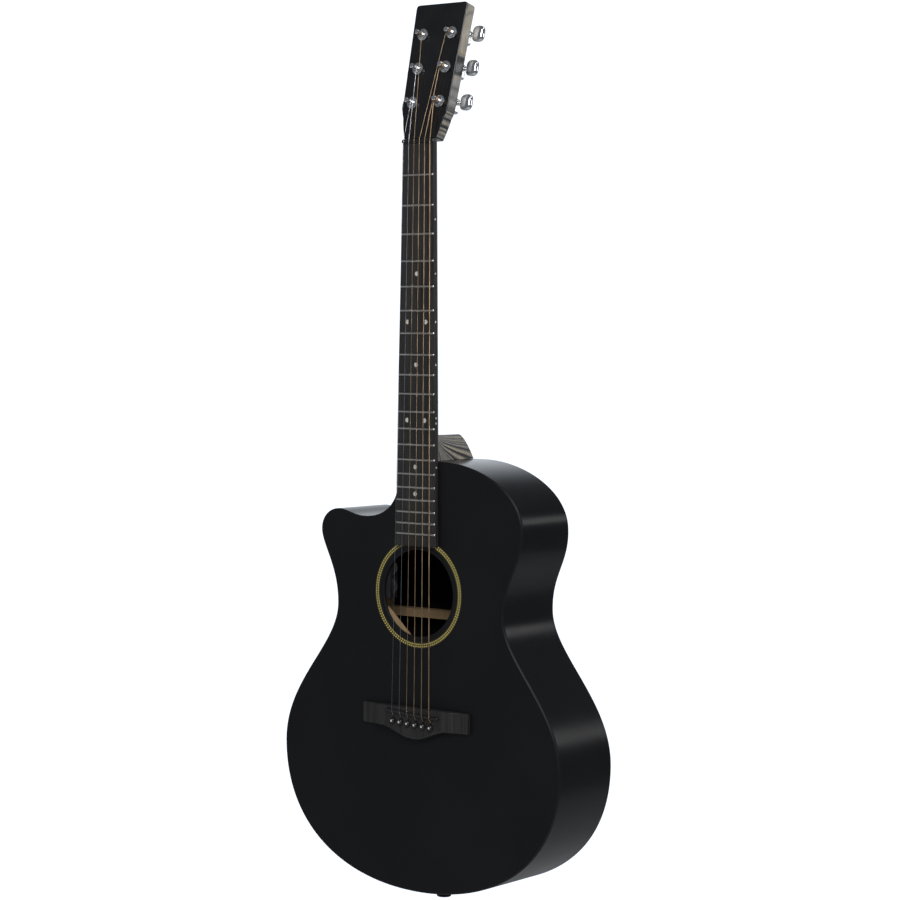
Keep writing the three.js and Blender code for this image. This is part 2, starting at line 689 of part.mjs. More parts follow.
// The adjusting nut: a hexagon on the rod's threaded end, with a socket for a hex key.
function trussRodNut() {
  const along = (radius, z0, z1, sides) => solid(rodAlongZ(radius, z0, z1, ROD_AXIS_Y, sides));
  const top = BODY_TOP_Z - 47;
  const body = along(3.5, top - 18, top, 6);
  return body.subtract(along(2.5, top - 14, top + 1, 14)).subtract(along(2.3, top - 19, top - 15, 6));
}

// ---------------------------------------------------- tuning machines, in the headstock's frame

const HEAD_BACK = HEADSTOCK_THICKNESS + GAP;
const HOUSING = { inner: 8.5, outer: 10, low: -8.5, high: 9.5, depth: 9.6, wall: 1.4 };

// A die-cast cup behind the headstock, with the bushing that is screwed into it from the front.
function tunerHousing(side) {
  const { inner, outer, low, high, depth, wall } = HOUSING;
  const spanX = side > 0 ? [-inner, outer] : [-outer, inner];
  const rear = HEAD_BACK + depth;
  const shell = solid(block(spanX[0], spanX[1], HEAD_BACK, rear, low, high));
  const cavity = solid(
    block(spanX[0] + wall, spanX[1] - wall, HEAD_BACK + wall, rear - wall, low + wall, high - wall)
  );
  const washer = solid(rod(7, -GAP - 1, -GAP, 0, 0, 16));
  const hexagon = solid(rod(5.6, -GAP - 2.6, -GAP - 0.5, 0, 0, 6));
  const tube = solid(rod(BUSHING_RADIUS, -GAP - 0.5, HEAD_BACK + 0.5, 0, 0, 12));
  const bore = solid(rod(POST_RADIUS + GAP, -10, HEAD_BACK + 3, 0, 0, 12));
  const shaftHole = solid(
    new THREE.CylinderGeometry(1.9, 1.9, 8, 10)
      .rotateZ(Math.PI / 2)
      .translate(side * outer, HEAD_BACK + KEY_DEPTH, KEY_OFFSET)
  );
  return shell.add(washer).add(hexagon).add(tube).subtract(cavity).subtract(bore).subtract(shaftHole);
}

// The post that winds the string, with the small gear on its inner end.
function tunerPost() {
  const post = turned(
    [
      [0, -POST_HEIGHT],
      [POST_RADIUS - 0.6, -POST_HEIGHT],
      [POST_RADIUS, -POST_HEIGHT + 0.6],
      [POST_RADIUS, -POST_HEIGHT + 2],
      [POST_WAIST, -POST_HEIGHT + 3],
      [POST_WAIST, -4.2],
      [POST_RADIUS, -3.4],
      [POST_RADIUS, HEAD_BACK + 2.6],
      [POST_WAIST, HEAD_BACK + 2.6],
      [POST_WAIST, HEAD_BACK + 7],
      [0, HEAD_BACK + 7],
    ],
    12
  );
  const hole = new THREE.CylinderGeometry(0.9, 0.9, 10, 6).rotateZ(Math.PI / 2);
  hole.translate(0, STRING_HOLE_DEPTH - POST_HEIGHT, 0);
  return solid(post).subtract(solid(hole));
}

// The key: a button outside the headstock, its shaft, and the worm at the inner end.
function tunerKey(side) {
  const { start, length, height, depth } = BUTTON;
  const button = new THREE.SphereGeometry(1, 12, 8);
  const position = button.attributes.position;
  for (let i = 0; i < position.count; i += 1) {
    const squared = (value) => Math.sign(value) * Math.abs(value) ** 0.62;
    position.setXYZ(
      i,
      squared(position.getX(i)) * (length / 2),
      squared(position.getY(i)) * (depth / 2),
      squared(position.getZ(i)) * (height / 2)
    );
  }
  button.translate(start + length / 2, 0, 0);
  const along = (radius, x0, x1, sides) => {
    const cylinder = new THREE.CylinderGeometry(radius, radius, x1 - x0, sides);
    return solid(cylinder.rotateZ(Math.PI / 2).translate((x0 + x1) / 2, 0, 0));
  };
  const worm = along(1.1, -5, 6, 8);
  const shaftRod = along(1.5, 5.5, start + 1, 10);
  const collar = along(3, HOUSING.outer + GAP + 0.3, HOUSING.outer + 2.4, 12);
  const body = solid(button).add(worm).add(shaftRod).add(collar);
  return geometryOf(body).rotateY(side > 0 ? 0 : Math.PI);
}

// ------------------------------------------------------------------ strings

function stringRadius(number) {
  return STRING_DIAMETERS[number - 1] / 2;
}

// A path of straight runs, one step of the extrusion for each.
class Runs extends THREE.Curve {
  constructor(points) {
    super();
    this.points = points;
  }
  getUtoTmapping(u) {
    return u;
  }
  getPoint(t, target = new THREE.Vector3()) {
    const position = t * (this.points.length - 1);
    const index = Math.min(Math.floor(position), this.points.length - 2);
    return target.lerpVectors(this.points[index], this.points[index + 1], position - index);
  }
}

function stringPath(number) {
  const radius = stringRadius(number);
  const pin = pinPlace(number);
  const nutX = stringFraction(number) * STRING_SPREAD_AT_NUT;
  const saddleX = stringFraction(number) * STRING_SPREAD_AT_SADDLE;
  const saddlePoint = slanted(saddleX, SADDLE.z);
  const overSaddle = SADDLE.topY - radius - GAP;
  const overNut = NUT.slotFloor - radius - GAP;
  const { side, s, x } = tunerPlace(number);
  const wrapRadius = POST_WAIST + GAP + radius;
  const post = new THREE.Vector3(x - side * wrapRadius, -WRAP_HEIGHT, s).applyMatrix4(headstockMatrix);
  return [
    new THREE.Vector3(pin.x, TOP_INNER + PLATE_THICKNESS + 1.5, pin.z + 3.6),
    new THREE.Vector3(pin.x, TOP_Y - 4, pin.z + 3.6),
    new THREE.Vector3(pin.x, TOP_Y - BRIDGE.thickness - GAP, pin.z + 4.9),
    new THREE.Vector3(saddleX, overSaddle, saddlePoint.z - 0.8),
    new THREE.Vector3(saddleX, overSaddle - 0.05, saddlePoint.z + 0.4),
    new THREE.Vector3(nutX, overNut - 0.05, 0.2),
    new THREE.Vector3(nutX, overNut, 1.6),
    new THREE.Vector3(nutX, overNut + 0.3, 4.6),
    post,
  ];
}

// The string, its ball end under the bridge plate, and its turns round the post as one collar.
function guitarString(number) {
  const radius = stringRadius(number);
  const sides = 6;
  const section = new THREE.Shape();
  for (let i = 0; i < sides; i += 1) {
    const angle = (2 * Math.PI * i) / sides;
    const point = [radius * Math.cos(angle), radius * Math.sin(angle)];
    if (i === 0) {
      section.moveTo(...point);
    } else {
      section.lineTo(...point);
    }
  }
  const points = stringPath(number);
  const options = { steps: points.length - 1, extrudePath: new Runs(points) };
  const wire = new THREE.ExtrudeGeometry(section, options);
  const pin = pinPlace(number);
  const ball = new THREE.SphereGeometry(1.9, 6, 4);
  ball.translate(pin.x, TOP_INNER + PLATE_THICKNESS + 2.6, pin.z + 4.2);
  const { x, s } = tunerPlace(number);
  const inner = POST_WAIST + GAP;
  const outer = inner + 2 * Math.max(radius, 0.25);
  const rise = 3 * Math.max(radius, 0.25);
  const collar = turned([[inner, -rise], [outer, -rise], [outer, rise], [inner, rise], [inner, -rise]], 12);
  collar.translate(x, -WRAP_HEIGHT, s).applyMatrix4(headstockMatrix);
  return solid(wire).add(solid(ball)).add(solid(collar));
}

// ------------------------------------------------------------------ end pin and controls

// The strap pin at the tail, hollow for a jack plug, with its nut inside the tail block. Each point of the
// profile is a radius and a distance outwards from the tail.
function endPin() {
  const bore = END_PIN_BORE;
  const profile = [
    [0, -46],
    [6, -46],
    [6, -37],
    [9, -37],
    [9, -32.8],
    [6, -32.8],
    [6, GAP],
    [10, GAP],
    [10, 2.2],
    [6.4, 3],
    [6.2, 9],
    [8.2, 10.5],
    [8.6, 12.5],
    [7.6, 13.6],
    [bore, 13.6],
    [bore, -42],
    [0, -42],
  ];
  return turned(profile, 16).rotateX(-Math.PI / 2);
}

function controlModule() {
  const { x, y, thickness, radius, axle } = WHEEL;
  const zs = [WHEEL_Z.tone, WHEEL_Z.volume];
  let body = solid(block(-66, x + 2.5, TOP_INNER, y + 8, zs[0] - 13, zs[1] + 13));
  for (const z of zs) {
    const half = thickness / 2 + GAP;
    body = body.subtract(solid(rod(radius + 0.6, y - half, y + half, x, z, 16)));
    body = body.add(solid(rod(axle, y - half - 1, y + half + 1, x, z, 8)));
  }
  return body;
}

// A thumb wheel with a knurled rim.
function thumbWheel() {
  const teeth = 12;
  const shape = new THREE.Shape();
  for (let i = 0; i < 2 * teeth; i += 1) {
    const angle = (Math.PI * i) / teeth;
    const radius = WHEEL.radius - (i % 2) * 0.5;
    const point = [radius * Math.cos(angle), radius * Math.sin(angle)];
    if (i === 0) {
      shape.moveTo(...point);
    } else {
      shape.lineTo(...point);
    }
  }
  const hole = new THREE.Path();
  hole.absarc(0, 0, WHEEL.axle + GAP, 0, 2 * Math.PI, true);
  shape.holes.push(hole);
  return slab(shape, -WHEEL.thickness / 2, WHEEL.thickness / 2, 4);
}

// ------------------------------------------------------------------ assembly

const guitar = new THREE.Group();

function mesh(name, shape, look) {
  const geometry = shape instanceof THREE.BufferGeometry ? shape : geometryOf(shape);
  const piece = new THREE.Mesh(geometry, new THREE.MeshStandardMaterial(look));
  piece.name = name;
  return piece;
}

const body = new THREE.Group();
body.add(mesh('soundboard', soundboard(), FINISH.top));
body.add(mesh('back', back(), FINISH.shell));
body.add(mesh('sides', sides(), FINISH.shell));
body.add(mesh('rosette', rosette(), FINISH.rosette));
body.add(mesh('neck_block', neckBlock(), FINISH.spruce));
body.add(mesh('tail_block', tailBlock(), FINISH.spruce));
body.add(mesh('top_lining', topLining(), FINISH.spruce));
body.add(mesh('back_lining', backLining(), FINISH.spruce));
body.add(mesh('x_brace_1', xBrace(1), FINISH.spruce));
body.add(mesh('x_brace_2', xBrace(2), FINISH.spruce));
body.add(mesh('transverse_brace', transverseBrace(), FINISH.spruce));
body.add(mesh('tone_bar_1', toneBar(1), FINISH.spruce));
body.add(mesh('tone_bar_2', toneBar(2), FINISH.spruce));
body.add(mesh('bridge_plate', bridgePlate(), FINISH.spruce));
BACK_BRACES.forEach((brace, i) => body.add(mesh(`back_brace_${i + 1}`, backBrace(brace), FINISH.spruce)));
body.add(mesh('bridge', bridge(), FINISH.board));
const saddleMesh = mesh('saddle', saddle(), FINISH.black);
saddleMesh.position.set(0, 0, SADDLE.z);
saddleMesh.rotation.y = STRING_SLANT;
body.add(saddleMesh);
for (let number = 1; number <= STRING_COUNT; number += 1) {
  const { x, z } = pinPlace(number);
  const pin = mesh(`bridge_pin_${number}`, bridgePin(), FINISH.black);
  pin.position.set(x, 0, z);
  body.add(pin);
}
const endPinMesh = mesh('end_pin', endPin(), FINISH.black);
endPinMesh.position.set(0, END_PIN_Y, BODY_BOTTOM_Z);
body.add(endPinMesh);
body.add(mesh('control_module', controlModule(), FINISH.plastic));
for (const [name, z] of Object.entries(WHEEL_Z)) {
  const wheel = mesh(`${name}_wheel`, thumbWheel(), FINISH.plastic);
  wheel.position.set(WHEEL.x, WHEEL.y, z);
  body.add(wheel);
}
guitar.add(body);

const neckGroup = new THREE.Group();
neckGroup.add(mesh('neck', neck(), FINISH.laminate));
neckGroup.add(mesh('fingerboard', fingerboard(), FINISH.board));
neckGroup.add(mesh('nut', nut(), FINISH.black));
neckGroup.add(mesh('truss_rod', trussRod(), FINISH.steel));
neckGroup.add(mesh('truss_rod_nut', trussRodNut(), FINISH.steel));
guitar.add(neckGroup);

const headstock = new THREE.Group();
headstock.position.copy(HEADSTOCK_ORIGIN);
headstock.rotation.x = -HEADSTOCK_TILT;
headstock.add(mesh('headstock_faceplate', faceplate(), FINISH.black));
for (let number = 1; number <= STRING_COUNT; number += 1) {
  const { side, s, x } = tunerPlace(number);
  const machine = new THREE.Group();
  machine.position.set(x, 0, s);
  machine.add(mesh(`tuner_housing_${number}`, tunerHousing(side), FINISH.chrome));
  machine.add(mesh(`tuner_post_${number}`, tunerPost(), FINISH.chrome));
  const key = mesh(`tuner_key_${number}`, tunerKey(side), FINISH.chrome);
  key.position.set(0, HEAD_BACK + KEY_DEPTH, KEY_OFFSET);
  machine.add(key);
  headstock.add(machine);
}
guitar.add(headstock);

for (let number = 1; number <= STRING_COUNT; number += 1) {
  const look = number <= 2 ? FINISH.steel : FINISH.bronze;
  guitar.add(mesh(`string_${number}`, guitarString(number), look));
}

export default guitar;
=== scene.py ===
"""Finished looks of a steel-string cutaway acoustic guitar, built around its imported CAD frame.

Shapes are worked out in millimetres, in the CAD frame: the origin is at the nut's front edge on the
centreline, +Z runs up the neck, the front faces -Y and +X is the bass side.
"""

import math

import bmesh
import bpy
from mathutils import Matrix, Vector
from mathutils.geometry import tessellate_polygon


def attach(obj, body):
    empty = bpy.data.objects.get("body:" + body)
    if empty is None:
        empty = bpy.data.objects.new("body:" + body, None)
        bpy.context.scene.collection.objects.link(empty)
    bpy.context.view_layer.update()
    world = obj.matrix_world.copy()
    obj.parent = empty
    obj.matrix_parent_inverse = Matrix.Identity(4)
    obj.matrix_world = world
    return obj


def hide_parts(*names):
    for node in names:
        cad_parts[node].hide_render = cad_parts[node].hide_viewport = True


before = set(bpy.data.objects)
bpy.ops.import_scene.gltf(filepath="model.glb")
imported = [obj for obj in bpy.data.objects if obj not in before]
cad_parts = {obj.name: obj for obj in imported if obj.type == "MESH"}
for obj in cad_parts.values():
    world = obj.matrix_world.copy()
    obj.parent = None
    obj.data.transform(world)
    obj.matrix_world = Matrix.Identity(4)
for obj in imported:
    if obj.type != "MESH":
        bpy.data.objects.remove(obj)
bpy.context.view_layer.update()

MM = 0.001
SMOOTH_ANGLE = math.radians(34)

# -------- dimensions, millimetres

SCALE_LENGTH = 645.2
FRET_COUNT = 20
NUT_WIDTH = 44.45
TWELFTH_FRET_WIDTH = 54
BOARD_THICKNESS = 6.2
BOARD_END_Z = -456
BOARD_RADIUS = 406
STRING_DIAMETERS = (0.305, 0.406, 0.635, 0.813, 1.067, 1.372)
STRING_SPREAD_AT_NUT = 38.4
STRING_SPREAD_AT_SADDLE = 54.5
PLAIN_STRINGS = 2
STRING_NUMBERS = range(1, 7)

TOP_Y = 6.5
TOP_THICKNESS = 3
BACK_THICKNESS = 2.8
SIDE_THICKNESS = 2.2
SEAM = 0.06
EDGE_ROUND = 2.0
BODY_TOP_Z = -359
BODY_BOTTOM_Z = -853
BACK_RADIUS = 4572
BACK_CROWN_Z = -600
DEPTH_AT_CROWN = 102.5
BACK_CLEARANCE = 0.1
DEPTH_TAPER = 0.0404
HUB = (0, -575)  # the back's rings are drawn about this point

SOUNDHOLE_Z = -510
SOUNDHOLE_RADIUS = 49.8
ROSETTE_INNER = 56.2
ROSETTE_OUTER = 63.2
ROSETTE_DEPTH = 0.7

STRING_SLANT = math.radians(3.3)
SADDLE_Z = -647.5
SADDLE_TOP_Y = -5.6
SADDLE_SLOT_DEPTH = 5.5
SADDLE_HALF_LENGTH = 37.5
PIN_Z = -658.6
BRIDGE_HALF = 76.2
BRIDGE_FRONT_Z = -640.5
BRIDGE_WING_Z = -664.5
BRIDGE_BELLY_Z = -676.5
BRIDGE_TOP_Y = TOP_Y - 8.8
BRIDGE_WING_Y = TOP_Y - 4.2

HEADSTOCK_TILT = math.radians(14.2)
HEADSTOCK_FOOT = Vector((0, 3.5, 5))
HEADSTOCK_THICKNESS = 15.5
FACEPLATE = 1.2
TUNER_ROWS = ((43, 19.4), (83.5, 19.8), (124, 20.8))
HEAD_BACK = 15.8
KEY_OFFSET = 4
KEY_DEPTH = 5
SHELF_Z = 4.7  # upper end of the shelf that the nut stands on
TENON_HALF = 9.5
TENON_FRONT = 12
TENON_REAR = 78
TENON_LENGTH = 16
ROD_CHANNEL_HALF = 3.3
ROD_CHANNEL_REAR = 17.3
POST_HEIGHT = 12
POST_WAIST = 2.6
POST_RADIUS = 3

END_PIN_Y = 59
CAMERA_AZIMUTH = math.radians(37.852)
FLOOR_RADIUS = 3000
WORLD_GREY = 0.15  # strength of the surroundings beside and in front of the guitar
FLOOR_DROP = 800  # the guitar hangs from its headstock, clear of the floor

HEAD = Matrix.Translation(HEADSTOCK_FOOT) @ Matrix.Rotation(-HEADSTOCK_TILT, 4, "X")
SADDLE_PLACE = Matrix.Translation((0, 0, SADDLE_Z)) @ Matrix.Rotation(STRING_SLANT, 4, "Y")
TAIL_PLACE = Matrix.Translation((0, END_PIN_Y, BODY_BOTTOM_Z))


# -------- curves

def lerp(a, b, t):
    return a + (b - a) * t


def bezier(start, a, b, end, spacing=5.0):
    """Points of a cubic curve after its start, about `spacing` apart."""
    steps = max(4, math.ceil(math.dist(start, end) / spacing))
    points = []
    for i in range(1, steps + 1):
        t = i / steps
        weights = ((1 - t) ** 3, 3 * t * (1 - t) ** 2, 3 * t * t * (1 - t), t**3)
        corners = (start, a, b, end)
        points.append(tuple(sum(w * c[k] for w, c in zip(weights, corners)) for k in (0, 1)))
    return points


def traced(start, *pieces, spacing=5.0):
    """An outline from curve pieces: a piece of one point is a straight line, one of three is a curve."""
    points = [start]
    for part in pieces:
        if len(part) == 1:
            points.append(part[0])
        else:
            points += bezier(points[-1], *part, spacing=spacing)
    if math.dist(points[0], points[-1]) < 0.01:
        points.pop()
    return points


def inset(points, distance):
    """The closed outline moved to its left, which is inwards for one that runs anticlockwise."""
    moved = []
    count = len(points)
    for i, (x, z) in enumerate(points):
        before = Vector((x, z)) - Vector(points[i - 1])
        after = Vector(points[(i + 1) % count]) - Vector((x, z))
        before.normalize()
        after.normalize()
        along = (before + after).normalized()
        inward = Vector((-along.y, along.x))
        mitre = distance / max(0.5, abs(inward.dot(Vector((-before.y, before.x)))))
        moved.append((x + inward.x * mitre, z + inward.y * mitre))
    return moved


def quarter_round(radius, steps=5):
    """Pairs of inset and drop for a rounded edge, from the side of a plate to its face."""
    return [
        (radius * (1 - math.cos(a)), radius * (1 - math.sin(a)))
        for a in (math.pi / 2 * i / steps for i in range(steps + 1))
    ]


# -------- solids as (vertices, faces)

def band(a, b, size):
    """Quads between two rings of `size` points that start at indices a and b."""
    return [(a + j, a + (j + 1) % size, b + (j + 1) % size, b + j) for j in range(size)]


def loft(rings, wrap=False):
    """Rings with the same number of points, joined in order. Wrap joins the last ring to the first."""
    size = len(rings[0])
    points = [Vector(point) for ring in rings for point in ring]
    faces = []
    for i in range(len(rings) if wrap else len(rings) - 1):
        faces += band(i * size, (i + 1) % len(rings) * size, size)
    if not wrap:
        faces.append(tuple(range(size)))
        faces.append(tuple(range(len(points) - size, len(points))))
    return points, faces


def turned(profile, segments=32, matrix=Matrix()):
    """A turned piece about the Y axis from (radius, y) points; a radius of 0 closes an end."""
    points = []
    faces = []
    last = None
    for radius, y in profile:
        if radius == 0:
            ring = [len(points)] * segments
            points.append(Vector((0, y, 0)))
        else:
            ring = list(range(len(points), len(points) + segments))
            angles = (2 * math.pi * i / segments for i in range(segments))
            points += [Vector((radius * math.cos(a), y, radius * math.sin(a))) for a in angles]
        if last:
            for j in range(segments):
                k = (j + 1) % segments
                corners = (last[j], last[k], ring[k], ring[j])
                faces.append(tuple(dict.fromkeys(corners)))
        last = ring
    return [matrix @ point for point in points], faces


def ring_of(profile, segments=96, matrix=Matrix()):
    """A turned piece whose profile closes on itself, such as a washer."""
    rings = []
    for i in range(segments):
        a = 2 * math.pi * i / segments
        rings.append([matrix @ Vector((r * math.cos(a), y, r * math.sin(a))) for r, y in profile])
    return loft(rings, wrap=True)


def tube(path, radius, sides=12):
    """A round tube along a path of points, with its ends closed."""
    path = [Vector(point) for point in path]
    rings = []
    normal = None
    for i, point in enumerate(path):
        along = (path[min(i + 1, len(path) - 1)] - path[max(i - 1, 0)]).normalized()
        if normal is None:
            normal = along.orthogonal().normalized()
        normal = (normal - along * normal.dot(along)).normalized()
        side = along.cross(normal)
        angles = (2 * math.pi * j / sides for j in range(sides))
        rings.append([point + (normal * math.cos(a) + side * math.sin(a)) * radius for a in angles])
    return loft(rings)


def prism(outline, sections, matrix=Matrix()):
    """A plate with one outline: each section gives an inset of the outline and its Y."""
    rings = []
    for distance, y in sections:
        edge = inset(outline, distance) if distance else outline
        rings.append([matrix @ Vector((x, y, z)) for x, z in edge])
    return loft(rings)


def slab(x0, x1, y0, y1, z0, z1, matrix=Matrix(), edge=0.0):
    """A block, with its edges along Y and its rear face's edges rounded where `edge` isn't 0."""
    outline = [(x0, z0), (x1, z0), (x1, z1), (x0, z1)]
    if edge:
        rounded = []
        for cx, cz, start in ((x1 - edge, z0 + edge, -90), (x1 - edge, z1 - edge, 0),
                              (x0 + edge, z1 - edge, 90), (x0 + edge, z0 + edge, 180)):
            for i in range(6):
                a = math.radians(start + 90 * i / 5)
                rounded.append((cx + edge * math.cos(a), cz + edge * math.sin(a)))
        soft = [(d, y1 - drop) for d, drop in quarter_round(edge * 0.7)]
        return prism(rounded, [(0, y0)] + soft, matrix)
    return prism(outline, [(0, y0), (0, y1)], matrix)


def rod_y(radius, y0, y1, x, z, segments=32, matrix=Matrix()):
    place = matrix @ Matrix.Translation((x, 0, z))
    return turned([(0, y0), (radius, y0), (radius, y1), (0, y1)], segments, place)


# -------- Blender objects

def new_object(name, solids):
    """One mesh object from (points, faces, material) solids, with its normals facing out."""
    points = []
    faces = []
    indices = []
    materials = []
    for solid_points, solid_faces, material in solids:
        if material not in materials:
            materials.append(material)
        offset = len(points)
        points += [Vector(point) * MM for point in solid_points]
        faces += [tuple(i + offset for i in face) for face in solid_faces]
        indices += [materials.index(material)] * len(solid_faces)
    mesh = bpy.data.meshes.new(name)
    mesh.from_pydata(points, [], faces)
    for material in materials:
        mesh.materials.append(material)
    mesh.polygons.foreach_set("material_index", indices)
    edit = bmesh.new()
    edit.from_mesh(mesh)
    bmesh.ops.recalc_face_normals(edit, faces=edit.faces)
    edit.to_mesh(mesh)
    edit.free()
    obj = bpy.data.objects.new(name, mesh)
    bpy.context.scene.collection.objects.link(obj)
    return obj


def apply_modifiers(obj):
    graph = bpy.context.evaluated_depsgraph_get()
    mesh = bpy.data.meshes.new_from_object(obj.evaluated_get(graph))
    obj.modifiers.clear()
    old = obj.data
    obj.data = mesh
    bpy.data.meshes.remove(old)
    mesh.name = obj.name


def combine(obj, operation, solids):
    """Cuts solids out of an object, or joins them to it."""
    material = obj.data.materials[0]
    tools = []
    for i, (points, faces) in enumerate(solids):
        tool = new_object(f"tool_{i}", [(points, faces, material)])
        modifier = obj.modifiers.new("combine", "BOOLEAN")
        modifier.operation = operation
        modifier.solver = "EXACT"
        modifier.object = tool
        tools.append(tool)
    apply_modifiers(obj)
    for tool in tools:
        mesh = tool.data
        bpy.data.objects.remove(tool)
        bpy.data.meshes.remove(mesh)


def shade(obj):
    """Smooth shading that keeps corners crisp and flat faces flat."""
    mesh = obj.data
    mesh.polygons.foreach_set("use_smooth", [True] * len(mesh.polygons))
    mesh.set_sharp_from_angle(angle=SMOOTH_ANGLE)
    modifier = obj.modifiers.new("normals", "WEIGHTED_NORMAL")
    modifier.keep_sharp = True
    modifier.weight = 100


def piece(name, solids, node, body="root", cuts=(), joins=(), bevel=0.0):
    """A finished piece that stands for a CAD node."""
    obj = new_object(name, solids)
    if joins:
        combine(obj, "UNION", joins)
    if cuts:
        combine(obj, "DIFFERENCE", cuts)
    if bevel:
        modifier = obj.modifiers.new("edges", "BEVEL")
        modifier.width = bevel * MM
        modifier.segments = 2
        modifier.limit_method = "ANGLE"
        modifier.angle_limit = SMOOTH_ANGLE
        apply_modifiers(obj)
    shade(obj)
    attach(obj, body)
    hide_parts(node)
    return obj


# -------- materials

class Finish:
    """A Principled material, built up from nodes that work in the object's own coordinates, in metres."""

    def __init__(self, name, color, roughness, **sockets):
        self.material = bpy.data.materials.new(name)
        self.material.use_nodes = True
        self.tree = self.material.node_tree
        self.shader = self.tree.nodes["Principled BSDF"]
        self.shader.inputs["Base Color"].default_value = (*color, 1)
        self.shader.inputs["Roughness"].default_value = roughness
        for label, value in sockets.items():
            self.shader.inputs[label.replace("_", " ")].default_value = value
        self.coordinates = self.node("ShaderNodeTexCoord").outputs["Object"]

    def node(self, kind, **settings):
        made = self.tree.nodes.new(kind)
        for key, value in settings.items():
            setattr(made, key, value)
        return made

    def feed(self, socket, value):
        if hasattr(value, "is_output"):
            self.tree.links.new(value, socket)
        else:
            socket.default_value = value

    def math(self, operation, *values):
        made = self.node("ShaderNodeMath", operation=operation)
        for socket, value in zip(made.inputs, values):
            self.feed(socket, value)
        return made.outputs[0]

    def axes(self, coordinates=None):
        made = self.node("ShaderNodeSeparateXYZ")
        self.feed(made.inputs[0], coordinates or self.coordinates)
        return made.outputs

    def noise(self, scale, stretch=(1, 1, 1), detail=3.0, distortion=0.0):
        mapping = self.node("ShaderNodeMapping")
        self.feed(mapping.inputs["Vector"], self.coordinates)
        mapping.inputs["Scale"].default_value = stretch
        made = self.node("ShaderNodeTexNoise")
        self.feed(made.inputs["Vector"], mapping.outputs[0])
        made.inputs["Scale"].default_value = scale
        made.inputs["Detail"].default_value = detail
        made.inputs["Distortion"].default_value = distortion
        return made.outputs[0]

    def span(self, factor, low, high, start=0.0, end=1.0):
        """Maps a factor from start..end to low..high, and holds it there."""
        made = self.node("ShaderNodeMapRange")
        for socket, value in zip(made.inputs, (factor, start, end, low, high)):
            self.feed(socket, value)
        return made.outputs[0]

    def ramp(self, factor, *stops):
        made = self.node("ShaderNodeValToRGB")
        self.feed(made.inputs[0], factor)
        elements = made.color_ramp.elements
        while len(elements) < len(stops):
            elements.new(0.5)
        for element, (position, color) in zip(elements, stops):
            element.position = position
            element.color = (*color, 1)
        return made.outputs[0]

    def color(self, value):
        self.feed(self.shader.inputs["Base Color"], value)
        return self

    def roughness(self, value):
        self.feed(self.shader.inputs["Roughness"], value)
        return self

    def bump(self, height, distance, strength=1.0):
        """Adds relief to what is there already. Distance is in millimetres."""
        made = self.node("ShaderNodeBump")
        made.inputs["Strength"].default_value = strength
        made.inputs["Distance"].default_value = distance * MM
        self.feed(made.inputs["Height"], height)
        normal = self.shader.inputs["Normal"]
        if normal.is_linked:
            self.feed(made.inputs["Normal"], normal.links[0].from_socket)
        self.feed(normal, made.outputs[0])
        return self


def black_laminate(name, color, rough_low, rough_high):
    """Pressure laminate: near-black, with a very fine pebble and slow changes in its sheen."""
    look = Finish(name, color, rough_low, Specular_IOR_Level=0.28)
    handled = look.noise(9, detail=4)
    fine = look.noise(1500, detail=2)
    look.roughness(look.span(handled, rough_low, rough_high, 0.35, 0.65))
    lighter = tuple(c * 1.35 for c in color)
    look.color(look.ramp(handled, (0.35, color), (0.7, lighter)))
    return look.bump(fine, 0.02, 0.35).material


def composite_board(name):
    """Black composite with fine streaks along its length, like ebony."""
    look = Finish(name, (0.02, 0.019, 0.019), 0.45)
    streaks = look.noise(700, stretch=(1, 1, 0.02), detail=4)
    slow = look.noise(160, stretch=(1, 1, 0.05), detail=3)
    both = look.math("ADD", look.math("MULTIPLY", streaks, 0.6), look.math("MULTIPLY", slow, 0.4))
    look.color(look.ramp(both, (0.38, (0.008, 0.008, 0.008)), (0.52, (0.022, 0.020, 0.020)),
                         (0.66, (0.030, 0.028, 0.027))))
    look.roughness(look.span(both, 0.40, 0.58, 0.3, 0.7))
    return look.bump(streaks, 0.03, 0.5).material


def rope_inlay(name):
    """Gold inlay of two rows of slanted dashes between thin dark lines."""
    look = Finish(name, (0.33, 0.27, 0.04), 0.4)
    x, _, z = look.axes()
    dz = look.math("SUBTRACT", z, SOUNDHOLE_Z * MM)
    radius = look.math("SQRT", look.math("ADD", look.math("MULTIPLY", x, x), look.math("MULTIPLY", dz, dz)))
    across = look.span(radius, 0, 1, ROSETTE_INNER * MM, ROSETTE_OUTER * MM)
    turn = look.math("ARCTAN2", dz, x)
    mirrored = look.math("ABSOLUTE", look.math("SUBTRACT", across, 0.5))
    dashes_round = 124 / (2 * math.pi)
    slant = look.math("MULTIPLY", mirrored, 1.5)
    phase = look.math("FRACT", look.math("ADD", look.math("MULTIPLY", turn, dashes_round), slant))
    dash = look.span(look.math("PINGPONG", phase, 0.5), 0, 1, 0.20, 0.28)
    middle = look.span(mirrored, 0, 1, 0.05, 0.10)
    rim = look.span(mirrored, 1, 0, 0.27, 0.31)
    gold = look.math("MULTIPLY", look.math("MULTIPLY", dash, middle), rim)
    look.color(look.ramp(gold, (0.0, (0.012, 0.010, 0.004)), (0.45, (0.15, 0.12, 0.02)),
                         (1.0, (0.85, 0.71, 0.20))))
    look.roughness(look.span(look.noise(800), 0.32, 0.5, 0.3, 0.7))
    return look.bump(gold, 0.05, 0.5).material


